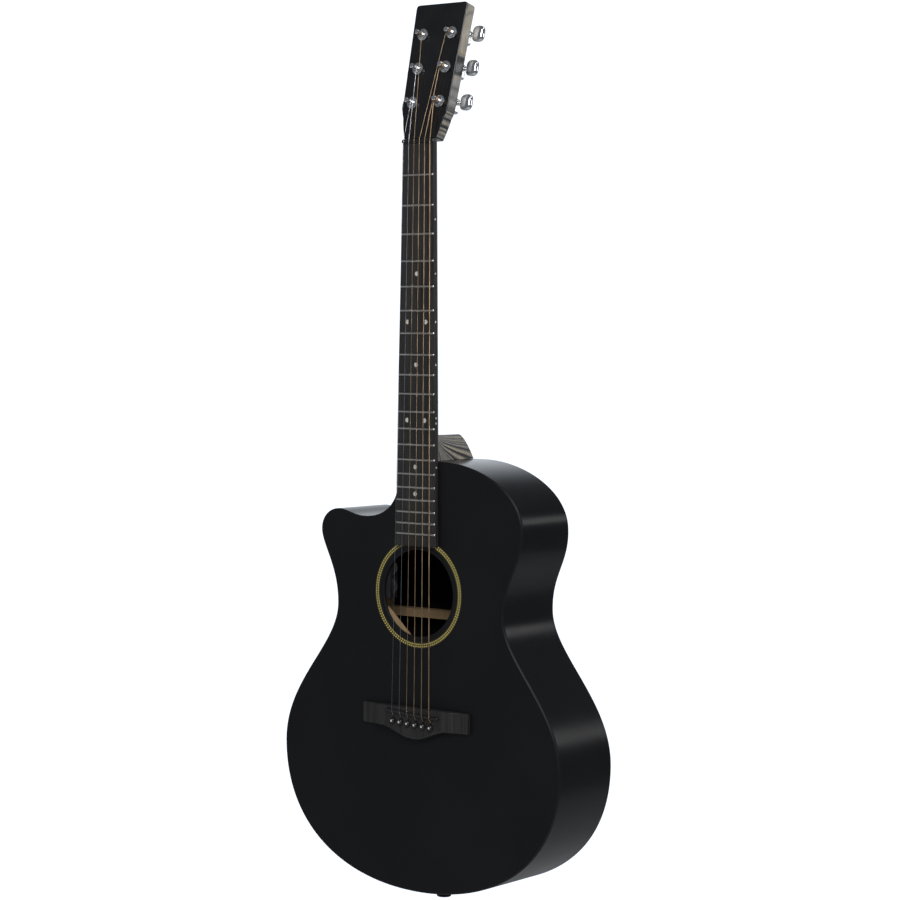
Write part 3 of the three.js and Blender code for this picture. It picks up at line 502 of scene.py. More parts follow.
def layered_neck(name):
    """Dyed birch veneers glued side by side: thin layers across X that wander a little along the neck."""
    look = Finish(name, (0.2, 0.19, 0.17), 0.42, Coat_Weight=0.12, Coat_Roughness=0.35)
    x, _, _ = look.axes()
    wander = look.noise(9, detail=2, distortion=0.2)
    layer_thickness = 0.62 * MM
    shifted = look.math("ADD", x, look.math("MULTIPLY", wander, 7 * MM))
    count = look.math("DIVIDE", shifted, layer_thickness)
    layer = look.node("ShaderNodeTexNoise", noise_dimensions="1D")
    look.feed(layer.inputs["W"], count)
    layer.inputs["Scale"].default_value = 0.55
    layer.inputs["Detail"].default_value = 2
    tone = look.ramp(layer.outputs[0], (0.38, (0.030, 0.029, 0.027)), (0.47, (0.17, 0.165, 0.155)),
                     (0.56, (0.36, 0.35, 0.33)), (0.68, (0.46, 0.39, 0.27)))
    glue = look.span(look.math("PINGPONG", look.math("FRACT", count), 0.5), 0.6, 1, 0.0, 0.12)
    pores = look.noise(900, stretch=(1, 1, 0.035), detail=4)
    shadow = look.math("MULTIPLY", glue, look.span(pores, 0.62, 1.12, 0.38, 0.62))
    blend = look.node("ShaderNodeMix", data_type="RGBA", blend_type="MULTIPLY")
    blend.inputs[0].default_value = 1
    grey = look.node("ShaderNodeCombineColor")
    for socket in grey.inputs:
        look.feed(socket, shadow)
    look.feed(blend.inputs[6], tone)
    look.feed(blend.inputs[7], grey.outputs[0])
    look.color(blend.outputs[2])
    look.roughness(look.span(pores, 0.36, 0.55, 0.35, 0.65))
    return look.bump(pores, 0.03, 0.4).material


def spruce(name):
    """Bare quarter-sawn spruce: pale wood with fine darker growth lines."""
    look = Finish(name, (0.6, 0.42, 0.22), 0.62)
    wander = look.noise(12, detail=2)
    x, y, _ = look.axes()
    growth = look.math("ADD", look.math("MULTIPLY", x, 650), look.math("MULTIPLY", y, 260))
    lines = look.math("FRACT", look.math("ADD", growth, look.math("MULTIPLY", wander, 9)))
    fibres = look.noise(500, stretch=(1, 1, 0.08), detail=4)
    grain = look.math("ADD", look.math("MULTIPLY", lines, 0.6), look.math("MULTIPLY", fibres, 0.5))
    look.color(look.ramp(grain, (0.25, (0.46, 0.33, 0.19)), (0.7, (0.38, 0.25, 0.13)),
                         (0.95, (0.25, 0.15, 0.07))))
    look.roughness(look.span(fibres, 0.55, 0.75, 0.3, 0.7))
    return look.bump(fibres, 0.06, 0.5).material


def moulded_black(name, low, high, grain_scale, relief):
    """Black plastic with a faint moulded texture."""
    look = Finish(name, (0.009, 0.009, 0.010), low)
    grain = look.noise(grain_scale, detail=3)
    smears = look.noise(120, detail=3, distortion=0.5)
    look.roughness(look.span(smears, low, high, 0.35, 0.65))
    look.color(look.ramp(smears, (0.3, (0.007, 0.007, 0.008)), (0.7, (0.014, 0.014, 0.015))))
    return look.bump(grain, relief, 0.4).material


def lacquered_black(name):
    """Gloss black facing with faint ripples and dust-fine scratches in the lacquer."""
    look = Finish(name, (0.005, 0.005, 0.006), 0.12, Coat_Weight=0.4, Coat_Roughness=0.06)
    ripple = look.noise(45, detail=2)
    scratches = look.noise(1400, stretch=(1, 1, 0.03), detail=3)
    look.roughness(look.span(scratches, 0.10, 0.2, 0.45, 0.75))
    look.color(look.ramp(ripple, (0.3, (0.004, 0.004, 0.005)), (0.7, (0.008, 0.008, 0.009))))
    return look.bump(ripple, 0.02, 0.3).material


def metal(name, color, low, high, scale=260, stretch=(1, 1, 1), relief=0.004):
    """Metal with slow smudges and fine scratches in its polish."""
    look = Finish(name, color, low, Metallic=1.0)
    smudges = look.noise(scale, stretch=stretch, detail=4)
    darker = tuple(c * 0.82 for c in color)
    look.roughness(look.span(smudges, low, high, 0.35, 0.7))
    look.color(look.ramp(smudges, (0.35, color), (0.8, darker)))
    return look.bump(smudges, relief, 0.3).material


def wound_string(name):
    """Bronze wire wound round a steel core: ridges across the string, a little tarnished."""
    look = Finish(name, (0.55, 0.33, 0.15), 0.3, Metallic=1.0)
    _, _, z = look.axes()
    turns_per_metre = 1 / (0.42 * MM)
    ridge = look.math("PINGPONG", look.math("MULTIPLY", z, turns_per_metre), 0.5)
    tarnish = look.noise(90, stretch=(1, 1, 0.4), detail=4)
    look.color(look.ramp(tarnish, (0.35, (0.44, 0.31, 0.19)), (0.7, (0.26, 0.18, 0.11))))
    look.roughness(look.span(tarnish, 0.34, 0.48, 0.35, 0.7))
    return look.bump(ridge, 0.12, 0.8).material


def pearl(name, color):
    """Pale inlay with cloudy swirls."""
    look = Finish(name, color, 0.25)
    swirl = look.noise(700, detail=3, distortion=1.5)
    darker = tuple(c * 0.6 for c in color)
    look.color(look.ramp(swirl, (0.35, darker), (0.6, color)))
    look.roughness(look.span(swirl, 0.18, 0.35, 0.3, 0.7))
    return look.bump(swirl, 0.01, 0.3).material


TOP_BLACK = black_laminate("top_laminate", (0.0040, 0.0041, 0.0050), 0.44, 0.50)
SHELL_BLACK = black_laminate("shell_laminate", (0.0035, 0.0035, 0.0041), 0.22, 0.27)
BOARD = composite_board("board_composite")
ROPE = rope_inlay("rope_inlay")
LAYERS = layered_neck("layered_birch")
SPRUCE = spruce("spruce")
BLACK_GLOSS = moulded_black("polished_black", 0.26, 0.36, 900, 0.01)
BLACK_MOULDED = moulded_black("moulded_black", 0.42, 0.55, 1600, 0.04)
LACQUER = lacquered_black("lacquered_black")
CHROME = metal("chrome", (0.90, 0.91, 0.93), 0.10, 0.18)
CAST_CHROME = metal("cast_chrome", (0.84, 0.85, 0.87), 0.18, 0.28, 400)
ROD_STEEL = metal("rod_steel", (0.42, 0.42, 0.43), 0.32, 0.5, 500, (1, 1, 0.1), 0.01)
FRET_METAL = metal("fret_metal", (0.66, 0.65, 0.62), 0.26, 0.36, 500, (0.2, 1, 1))
PLAIN_WIRE = metal("plain_wire", (0.52, 0.52, 0.54), 0.30, 0.40, 700, (1, 1, 0.1))
BRONZE = wound_string("bronze_winding")
PEARL = pearl("pearl", (0.75, 0.73, 0.66))
WHITE_DOT = pearl("white_dot", (0.82, 0.82, 0.80))

CARRIED_OVER = {
    SPRUCE: ["neck_block", "tail_block", "top_lining", "back_lining", "x_brace_1", "x_brace_2",
             "transverse_brace", "tone_bar_1", "tone_bar_2", "bridge_plate",
             "back_brace_1", "back_brace_2", "back_brace_3", "back_brace_4"],
    BLACK_MOULDED: ["control_module"],
    ROD_STEEL: ["truss_rod", "truss_rod_nut"],
}


def dress_carried_over():
    for material, names in CARRIED_OVER.items():
        for name in names:
            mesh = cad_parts[name].data
            mesh.materials.clear()
            mesh.materials.append(material)


# -------- body

def body_outline():
    low = (199.5, -697)
    waist = (120, -529)
    up = (145.5, -433)

    def left(point):
        return (-point[0], point[1])

    tail = (115, BODY_BOTTOM_Z)
    below = (low[0], low[1] - 100)
    above = (low[0], low[1] + 72)
    under_waist = (waist[0], waist[1] - 50)
    over_waist = (waist[0], waist[1] + 43)
    foot = (-30.5, -384)
    floor = (-81, -425.8)
    crest = (-120, -418.8)
    tip = (-145.5, -443)
    return traced(
        (0, BODY_BOTTOM_Z),
        (tail, below, low),
        (above, under_waist, waist),
        (over_waist, (up[0], up[1] - 40), up),
        ((up[0], up[1] + 45), (83, BODY_TOP_Z), (30, BODY_TOP_Z)),
        ((-29.5, BODY_TOP_Z),),
        (foot,),
        ((foot[0] - 2, foot[1] - 26), (floor[0] + 29, floor[1]), floor),
        ((floor[0] - 18, floor[1]), (crest[0] + 13, crest[1]), crest),
        ((crest[0] - 14, crest[1]), (tip[0], tip[1] + 14), tip),
        ((tip[0], tip[1] - 20), left(over_waist), left(waist)),
        (left(under_waist), left(above), left(low)),
        (left(below), left(tail), (0, BODY_BOTTOM_Z)),
    )


OUTLINE = body_outline()


def back_y(x, z):
    from_crown = z - BACK_CROWN_Z
    dome = (from_crown**2 + x**2) / (2 * BACK_RADIUS)
    return TOP_Y + DEPTH_AT_CROWN - BACK_CLEARANCE - DEPTH_TAPER * from_crown - dome


def circle(radius, count=144):
    return [
        (radius * math.cos(2 * math.pi * i / count), SOUNDHOLE_Z + radius * math.sin(2 * math.pi * i / count))
        for i in range(count)
    ]


def pin_place(number):
    x = string_fraction(number) * STRING_SPREAD_AT_SADDLE
    return x, PIN_Z - math.tan(STRING_SLANT) * x


def string_fraction(number):
    return (number - 1) / 5 - 0.5


def pin_cutters(y0, y1):
    """A round hole for each pin, with a slot in front of it that the string runs up."""
    cutters = []
    for number in STRING_NUMBERS:
        x, z = pin_place(number)
        half_slot = STRING_DIAMETERS[number - 1] / 2 + 0.35
        cutters.append(rod_y(2.55, y0, y1, x, z, 32))
        cutters.append(slab(x - half_slot, x + half_slot, y0 + 0.1, y1 - 0.1, z, z + 5.4))
    return cutters


def soundboard():
    rear = TOP_Y + TOP_THICKNESS
    edge = [(0, rear)] + [(d, TOP_Y + drop) for d, drop in quarter_round(EDGE_ROUND)]
    outer = [[Vector((x, y, z)) for x, z in inset(OUTLINE, d)] for d, y in edge]
    groove = TOP_Y + ROSETTE_DEPTH
    lip = [(SOUNDHOLE_RADIUS + d, TOP_Y + drop) for d, drop in reversed(quarter_round(1))]
    back_lip = [(SOUNDHOLE_RADIUS + d, rear - drop) for d, drop in quarter_round(1)]
    wall = [(ROSETTE_OUTER + SEAM, TOP_Y), (ROSETTE_OUTER + SEAM, groove), (ROSETTE_INNER - SEAM, groove),
            (ROSETTE_INNER - SEAM, TOP_Y)] + lip + back_lip
    inner = [[Vector((x, y, z)) for x, z in circle(r)] for r, y in wall]
    points = [p for ring in outer for p in ring]
    faces = []
    size = len(OUTLINE)
    for i in range(len(outer) - 1):
        faces += band(i * size, (i + 1) * size, size)
    start = len(points)
    points += [p for ring in inner for p in ring]
    turn = len(inner[0])
    for i in range(len(inner) - 1):
        faces += band(start + i * turn, start + (i + 1) * turn, turn)
    front_edge = list(range((len(outer) - 1) * size, len(outer) * size))
    rear_edge = list(range(size))
    hole_front = list(range(start, start + turn))
    hole_rear = list(range(start + (len(inner) - 1) * turn, start + len(inner) * turn))
    for border, hole in ((front_edge, hole_front), (rear_edge, hole_rear)):
        ids = border + hole
        flat = [[(points[i].x, points[i].z, 0) for i in loop] for loop in (border, hole)]
        faces += [tuple(ids[i] for i in corner) for corner in tessellate_polygon(flat)]
    piece("top_plate", [(points, faces, TOP_BLACK)], "soundboard",
          cuts=pin_cutters(TOP_Y - 1, rear + 1))


def rosette():
    section = [(ROSETTE_INNER, TOP_Y), (ROSETTE_OUTER, TOP_Y), (ROSETTE_OUTER, TOP_Y + ROSETTE_DEPTH),
               (ROSETTE_INNER, TOP_Y + ROSETTE_DEPTH)]
    place = Matrix.Translation((0, 0, SOUNDHOLE_Z))
    piece("rosette_inlay", [(*ring_of(section, 180, place), ROPE)], "rosette")


def back():
    """The domed back: each ring is a part of the way from the hub to the outline, inset, and set down."""
    steps = 14
    rings = [(i / steps, EDGE_ROUND, 0) for i in range(1, steps)]
    rings += [(1, d, drop) for d, drop in reversed(quarter_round(EDGE_ROUND))]
    rings.append((1, 0, BACK_THICKNESS))
    rings += [(i / steps, 0, BACK_THICKNESS) for i in range(steps - 1, 0, -1)]
    points = [Vector((HUB[0], back_y(*HUB), HUB[1]))]
    faces = []
    size = len(OUTLINE)
    for fraction, distance, drop in rings:
        for x, z in inset(OUTLINE, distance):
            px = lerp(HUB[0], x, fraction)
            pz = lerp(HUB[1], z, fraction)
            points.append(Vector((px, back_y(px, pz) - drop, pz)))
    points.append(Vector((HUB[0], back_y(*HUB) - BACK_THICKNESS, HUB[1])))
    last = len(points) - 1
    for j in range(size):
        k = (j + 1) % size
        faces.append((0, 1 + j, 1 + k))
        for i in range(len(rings) - 1):
            a, b = 1 + i * size, 1 + (i + 1) * size
            faces.append((a + j, a + k, b + k, b + j))
        tail = 1 + (len(rings) - 1) * size
        faces.append((tail + j, tail + k, last))
    piece("back_plate", [(points, faces, SHELL_BLACK)], "back")


def sides():
    front = TOP_Y + TOP_THICKNESS + SEAM
    inner_line = inset(OUTLINE, SIDE_THICKNESS)
    rings = []
    for (x, z), (ix, iz) in zip(OUTLINE, inner_line):
        rear = back_y(x, z) - BACK_THICKNESS - SEAM
        inner_rear = back_y(ix, iz) - BACK_THICKNESS - SEAM
        middle = lerp(front, rear, 0.5)
        rings.append([(x, front, z), (x, middle, z), (x, rear, z), (ix, inner_rear, iz), (ix, middle, iz),
                      (ix, front, iz)])
    room = 0.3
    half = TENON_HALF + room
    socket = slab(-half, half, TENON_FRONT - room, TENON_REAR + room, BODY_TOP_Z - TENON_LENGTH - room,
                  BODY_TOP_Z + 5)
    channel = slab(-ROD_CHANNEL_HALF, ROD_CHANNEL_HALF, 9.7, ROD_CHANNEL_REAR, BODY_TOP_Z - 60, 0)
    turn = TAIL_PLACE @ Matrix.Rotation(math.pi / 2, 4, "X")
    tail_hole = rod_y(6.3, -30, 30, 0, 0, 48, turn)
    piece("side_rim", [(*loft(rings, wrap=True), SHELL_BLACK)], "sides",
          cuts=[socket, channel, tail_hole])


# -------- bridge, saddle and pins

def bridge_section(x):
    """The closed outline, in Y and Z, of the bridge at one place along its length."""
    blend = min(max((abs(x) - 48) / 16, 0), 1)
    ease = blend * blend * (3 - 2 * blend)
    top = lerp(BRIDGE_TOP_Y, BRIDGE_WING_Y, ease)
    belly = min(max((abs(x) - 2) / 46, 0), 1)
    belly_ease = belly * belly * (3 - 2 * belly)
    rear = lerp(BRIDGE_BELLY_Z, BRIDGE_WING_Z, belly_ease)
    base = TOP_Y - SEAM
    section = [(base, BRIDGE_FRONT_Z)]
    edge = 1.1
    section += [(top + drop, BRIDGE_FRONT_Z - d) for d, drop in quarter_round(edge, 4)]
    section += [(top, lerp(BRIDGE_FRONT_Z, rear, f)) for f in (0.3, 0.5, 0.7)]
    slope = 2.6
    section += [(top + drop * 1.3, rear + d) for d, drop in reversed(quarter_round(slope, 5))]
    section.append((base, rear))
    return [Vector((x, y, z)) for y, z in section]


def bridge():
    steps = 96
    xs = [lerp(-BRIDGE_HALF, BRIDGE_HALF, i / steps) for i in range(steps + 1)]
    half = SADDLE_HALF_LENGTH + 0.1
    slot = slab(-half, half, BRIDGE_TOP_Y - 8, BRIDGE_TOP_Y + SADDLE_SLOT_DEPTH, -1.7, 1.7, SADDLE_PLACE)
    piece("bridge_body", [(*loft([bridge_section(x) for x in xs]), BOARD)], "bridge",
          cuts=[slot] + pin_cutters(BRIDGE_TOP_Y - 4, TOP_Y + 1))


def saddle():
    half = 1.6
    floor = BRIDGE_TOP_Y + SADDLE_SLOT_DEPTH - 0.1
    end = SADDLE_HALF_LENGTH
    rings = []
    for x, shrink in ((-end, 0.5), (0.3 - end, 0.15), (0.7 - end, 0), (-18, 0), (0, 0), (18, 0),
                      (end - 0.7, 0), (end - 0.3, 0.15), (end, 0.5)):
        crown = SADDLE_TOP_Y - 0.28 + x * x / (2 * BOARD_RADIUS) * 0.35 + shrink
        section = [(floor, -half + shrink), (crown + 1.2, -half + shrink), (crown + 0.45, -half * 0.8),
                   (crown + 0.1, -half * 0.45), (crown, 0), (crown + 0.1, half * 0.45),
                   (crown + 0.45, half * 0.8), (crown + 1.2, half - shrink), (floor, half - shrink)]
        rings.append([SADDLE_PLACE @ Vector((x, y, z)) for y, z in section])
    piece("saddle_bar", [(*loft(rings), BLACK_GLOSS)], "saddle")


def bridge_pins():
    seat = BRIDGE_TOP_Y - 0.1
    head = [(0, seat - 4.7), (1.2, seat - 4.55), (2.2, seat - 4.1), (3.0, seat - 3.3), (3.45, seat - 2.3),
            (3.5, seat - 1.6), (3.1, seat - 0.7), (2.4, seat), (2.3, seat + 1), (1.9, seat + 19.8),
            (1.3, seat + 20.6), (0, seat + 20.8)]
    dot = [(0, seat - 4.82), (0.9, seat - 4.76), (1.25, seat - 4.62), (1.25, seat - 4.2), (0, seat - 4.2)]
    for number in STRING_NUMBERS:
        x, z = pin_place(number)
        place = Matrix.Translation((x, 0, z))
        solids = [(*turned(head, 32, place), BLACK_GLOSS), (*turned(dot, 24, place), WHITE_DOT)]
        piece(f"pin_with_dot_{number}", solids, f"bridge_pin_{number}", f"pin_{number}")


# -------- neck, fingerboard and nut

def board_half(z):
    return NUT_WIDTH / 2 - (TWELFTH_FRET_WIDTH - NUT_WIDTH) / SCALE_LENGTH * z


def fret_z(number):
    return -SCALE_LENGTH * (1 - 2 ** (-number / 12))


def crown_y(x):
    return x * x / (2 * BOARD_RADIUS)


def half_round():
    """A half-round section of unit size: a flat side, then the bulge."""
    rise = ((-0.84, 0.5), (-0.48, 1), (0, 1))
    fall = ((0.48, 1), (0.84, 0.5), (1, 0))
    bulge = traced((-1, 0), rise, fall, spacing=0.09)
    flat = [(0.5, 0), (0, 0), (-0.5, 0)]
    return bulge + flat


def plane_y(z, behind):
    """Y of the plane a given distance behind the headstock's face."""
    rise = z - HEADSTOCK_FOOT.z
    return HEADSTOCK_FOOT.y + rise * math.tan(HEADSTOCK_TILT) + behind / math.cos(HEADSTOCK_TILT)


def neck_shaft():
    section = half_round()
    volute = 34
    stops = [BODY_TOP_Z + 0.3 + i * 12 for i in range(30)] + [-3, SHELF_Z]
    stops += [lerp(SHELF_Z, volute, i / 12) for i in range(1, 13)]
    rings = []
    for z in stops:
        ring = []
        for u, v in section:
            if z <= SHELF_Z:
                depth = lerp(14.5, 17.5, min(max(-z / 300, 0), 1))
                ring.append((u * board_half(z), BOARD_THICKNESS + SEAM + v * (depth + 0.2), z))
            else:
                run_out = (z - SHELF_Z) / (volute - SHELF_Z)
                front = plane_y(z, 6)
                flat = plane_y(z, HEADSTOCK_THICKNESS) - 0.4
                rear = lerp(TOP_Y + 14.5 + (z - SHELF_Z) * 0.12, flat, math.sqrt(run_out))
                ring.append((u * board_half(0), front + v * max(1, rear - front), z))
        rings.append(ring)
    return loft(rings)


def heel():
    section = half_round()
    stops = [91 - i * 3.5 for i in range(17)] + [31 - i for i in range(11)] + [17, 13, 8]
    rings = []
    for y in stops:
        half = 12.5 + 14 * math.exp(-(y - 8) / 30)
        reach = 28 + min(34, 34 * math.exp(-(y - 21) / 5.5))
        rearness = (y - 8) / 83
        rings.append([
            (u * half, y - 0.42 * v * reach * rearness, BODY_TOP_Z + 0.3 + v * reach) for u, v in section
        ])
    return loft(rings)


def headstock_outline():
    foot, shoulder, top, length, corner = 22.3, 32.2, 36.4, 160, 4.5
    right = traced(
        (foot, 0),
        ((24.6, 5), (28, 17), (29.3, 25)),
        ((31.1, 29.3), (shoulder - 0.2, 31.5), (shoulder + 0.1, 35)),
        ((top, length - corner),),
        ((top + 0.05, length - 1.5), (top - 1.5, length), (top - corner, length)),
        spacing=1.5,
    )
    return right + [(-x, s) for x, s in reversed(right)]


def tuner_place(number):
    side = -1 if number <= 3 else 1
    s, x = TUNER_ROWS[number - 1 if number <= 3 else 6 - number]
    return side, s, side * x


def tuner_cutters(y0, y1):
    return [rod_y(4.9, y0, y1, tuner_place(n)[2], tuner_place(n)[1], 32, HEAD) for n in STRING_NUMBERS]


def neck():
    outline = headstock_outline()
    rear_edge = [(d, HEADSTOCK_THICKNESS - drop) for d, drop in quarter_round(1.2, 4)]
    slab_of_wood = prism(outline, [(0, FACEPLATE)] + rear_edge, HEAD)
    tenon = slab(-TENON_HALF, TENON_HALF, TENON_FRONT, TENON_REAR, BODY_TOP_Z - TENON_LENGTH, BODY_TOP_Z + 8)
    shelf = slab(-40, 40, -10, BOARD_THICKNESS + SEAM, -20, SHELF_Z)
    channel = slab(-ROD_CHANNEL_HALF, ROD_CHANNEL_HALF, 5, ROD_CHANNEL_REAR, -409, -6)
    obj = new_object("neck_blank", [(*slab_of_wood, LAYERS)])
    combine(obj, "DIFFERENCE", [shelf])
    wood = ([v.co / MM for v in obj.data.vertices], [tuple(f.vertices) for f in obj.data.polygons])
    bpy.data.objects.remove(obj)
    piece("neck_shaft", [(*neck_shaft(), LAYERS)], "neck", joins=[heel(), wood, tenon],
          cuts=[channel] + tuner_cutters(-1, 30))


def faceplate():
    sections = [(0, FACEPLATE - SEAM)] + [(d, drop) for d, drop in quarter_round(0.6, 3)]
    piece("headstock_face", [(*prism(headstock_outline(), sections, HEAD), LACQUER)], "headstock_faceplate",
          cuts=tuner_cutters(-1, 3))


def disc(x, y, z, radius, depth, matrix=Matrix()):
    return turned([(0, y), (radius, y), (radius, y + depth), (0, y + depth)], 32,
                  matrix @ Matrix.Translation((x, 0, z)))


def fingerboard():
    steps = 12
    rings = []
    for z in [lerp(-SEAM, BOARD_END_Z, i / 40) for i in range(41)]:
        half = board_half(z)
        ring = [Vector((-half, BOARD_THICKNESS, z))]
        xs = [lerp(-half, half, i / steps) for i in range(steps + 1)]
        ring.append(Vector((-half, crown_y(half) + 0.5, z)))
        ring += [Vector((x * 0.985, crown_y(x), z)) for x in xs]
        ring += [Vector((half, crown_y(half) + 0.5, z)), Vector((half, BOARD_THICKNESS, z))]
        rings.append(ring)
    solids = [(*loft(rings), BOARD)]
    for fret, places in ((5, (0,)), (7, (-13, 13)), (9, (0,)), (12, (-12.5, 12.5)), (15, (0,)), (17, (0,))):
        z = (fret_z(fret) + fret_z(fret - 1)) / 2
        for x in places:
            solids.append((*disc(x, crown_y(x) - 0.03, z, 2.6, 0.6), PEARL))
    turn = Matrix.Rotation(math.pi / 2, 4, "Z")
    for fret, offsets in ((3, (0,)), (5, (0,)), (7, (0,)), (9, (0,)), (12, (-3, 3)), (15, (0,))):
        z = (fret_z(fret) + fret_z(fret - 1)) / 2
        for offset in offsets:
            place = turn @ Matrix.Translation((3.2, 0, 0))
            solids.append((*disc(0, -board_half(z + offset) - 0.03, z + offset, 1.1, 0.5, place), WHITE_DOT))
    piece("board_with_dots", solids, "fingerboard")


def frets():
    for number in range(1, FRET_COUNT + 1):
        z = fret_z(number)
        half = board_half(z) - 0.6
        rings = []
        between = [lerp(-half + 1.2, half - 1.2, i / 12) for i in range(13)]
        xs = [-half, -half + 0.5] + between + [half - 0.5, half]
        for x in xs:
            inset_from_end = half - abs(x)
            height = 1.08 * min(1, 0.25 + inset_from_end / 1.1)
            arc = [(1.1 * math.cos(a), height * math.sin(a)) for a in (math.pi * i / 10 for i in range(11))]
            base = crown_y(x)
            rings.append([Vector((x, base - rise, z + across)) for across, rise in arc]
                         + [Vector((x, base + 0.4, z - 1.1)), Vector((x, base + 0.4, z + 1.1))])
        piece(f"fret_{number:02d}", [(*loft(rings), FRET_METAL)], "fingerboard")


def nut():
    half = NUT_WIDTH / 2
    depth = 4.4
    top = -1.9
    rings = []
    for x, shrink in ((-half, 0.5), (-half + 0.15, 0.2), (-half + 0.5, 0), (-11, 0), (0, 0), (11, 0),
                      (half - 0.5, 0), (half - 0.15, 0.2), (half, 0.5)):
        lift = crown_y(x) * 0.5 + shrink
        section = [(BOARD_THICKNESS, shrink), (top + 0.9 + lift, shrink), (top + 0.3 + lift, 0.2 + shrink),
                   (top + lift, 0.9), (top + 0.05 + lift, 1.7), (top + 0.5 + lift, 2.9),
                   (top + 1.2 + lift, 3.8), (top + 2.4 + lift, depth - shrink),
                   (BOARD_THICKNESS, depth - shrink)]
        rings.append([Vector((x, y, z)) for y, z in section])
    cutters = []
    for number in STRING_NUMBERS:
        radius = STRING_DIAMETERS[number - 1] / 2
        x = string_fraction(number) * STRING_SPREAD_AT_NUT
        cutters.append(slab(x - radius - 0.1, x + radius + 0.1, -5, -1.48, -2, 8))
    piece("nut_bar", [(*loft(rings), BLACK_GLOSS)], "nut", cuts=cutters)


# -------- tuning machines

def hexagon(radius, y0, y1, matrix):
    corners = [(radius * math.cos(math.pi * i / 3), radius * math.sin(math.pi * i / 3)) for i in range(6)]
    return prism(corners, [(0, y1), (0, y0 + 0.35), (0.35, y0)], matrix)


def tuner_housing(number):
    side, s, x = tuner_place(number)
    place = HEAD @ Matrix.Translation((x, 0, s))
    inner, outer, low, high = (8.5, 10, -8.5, 9.5)
    x0, x1 = (-inner, outer) if side > 0 else (-outer, inner)
    rear = HEAD_BACK + 9.6
    front = HEADSTOCK_THICKNESS + SEAM
    cup = slab(x0, x1, front, rear, low, high, place, edge=2.6)
    hollow = slab(x0 + 1.4, x1 - 1.4, HEAD_BACK + 1.4, rear - 1.4, low + 1.4, high - 1.4, place)
    bushing = turned([(0, -2.4), (3.9, -3.0), (4.5, -2.95), (4.8, -2.6), (4.8, -1.3), (5.9, -1.3),
                      (6.1, -1.25), (6.8, -0.95), (7.05, -0.5), (7, -SEAM), (4.6, -SEAM),
                      (4.6, HEAD_BACK + 0.5), (0, HEAD_BACK + 0.5)], 48, place)
    nut_hexagon = hexagon(5.7, -2.5, -1.2, place)
    bore = rod_y(3.15, -10, HEAD_BACK + 3, 0, 0, 32, place)
    turn = place @ Matrix.Translation((side * outer, HEAD_BACK + KEY_DEPTH, KEY_OFFSET)) @ Matrix.Rotation(
        math.pi / 2, 4, "Z")
    key_hole = rod_y(1.9, -4, 4, 0, 0, 24, turn)
    piece(f"tuner_case_{number}", [(*cup, CAST_CHROME)], f"tuner_housing_{number}",
          joins=[bushing, nut_hexagon], cuts=[hollow, bore, key_hole])


def tuner_post(number):
    _, s, x = tuner_place(number)
    place = HEAD @ Matrix.Translation((x, 0, s))
    top = -POST_HEIGHT
    profile = [(0, top), (1.9, top), (2.6, top + 0.25), (2.95, top + 0.8), (POST_RADIUS, top + 1.5),
               (2.9, top + 2.4), (POST_WAIST, top + 3), (POST_WAIST, -4.2), (POST_RADIUS, -3.4),
               (POST_RADIUS, HEAD_BACK + 2.6),
               (POST_WAIST, HEAD_BACK + 2.6), (POST_WAIST, HEAD_BACK + 7), (0, HEAD_BACK + 7)]
    turn = place @ Matrix.Translation((0, top + 1.6, 0)) @ Matrix.Rotation(math.pi / 2, 4, "Z")
    hole = rod_y(0.9, -5, 5, 0, 0, 20, turn)
    piece(f"post_{number}_turned", [(*turned(profile, 36, place), CHROME)], f"tuner_post_{number}",
          f"post_{number}", cuts=[hole])


def tuner_key(number):
    """An oval button with flats round its rim, on a shaft with a collar and a worm."""
    side, s, x = tuner_place(number)
    place = HEAD @ Matrix.Translation((x, HEAD_BACK + KEY_DEPTH, s + KEY_OFFSET))
    if side < 0:
        place = place @ Matrix.Rotation(math.pi, 4, "Z")
    start, length, height, depth = (15, 15, 19, 9)
    rings = []
    for i in range(25):
        a = math.pi * i / 24
        along = -math.cos(a)
        spread = math.sin(a) ** 0.55
        u = math.copysign(abs(along) ** 0.75, along)
        ring = []
        for j in range(48):
            b = 2 * math.pi * j / 48
            cy, cz = math.cos(b), math.sin(b)
            flat = 0.72
            y = math.copysign(abs(cy) ** flat, cy) * depth / 2 * max(spread, 0.02)
            z = math.copysign(abs(cz) ** flat, cz) * height / 2 * max(spread, 0.02)
            ring.append(place @ Vector((start + length / 2 + u * length / 2, y, z)))
        rings.append(ring)
    button = loft(rings)
    spin = place @ Matrix.Rotation(-math.pi / 2, 4, "Z")
    shaft = turned([(0, -5), (1.1, -5), (1.1, 6), (1.5, 6), (1.5, 10.7), (2.9, 10.7), (3.1, 11.2),
                    (2.9, 12.2), (2.2, 12.6), (1.9, 13.4), (2.2, 14.6), (3.0, 15.6), (3.2, 17), (0, 17)],
                   32, spin)
    piece(f"key_{number}_button", [(*button, CHROME)], f"tuner_key_{number}", f"key_{number}",
          joins=[shaft])


# -------- strings

def smooth_corner(before, corner, after, reach, steps=4):
    """Points that round a corner of a path, starting `reach` before it and ending `reach` after it."""
    start = corner + (before - corner).normalized() * reach
    end = corner + (after - corner).normalized() * reach
    points = []
    for i in range(steps + 1):
        t = i / steps
        points.append(start * (1 - t) ** 2 + corner * 2 * t * (1 - t) + end * t * t)
    return points


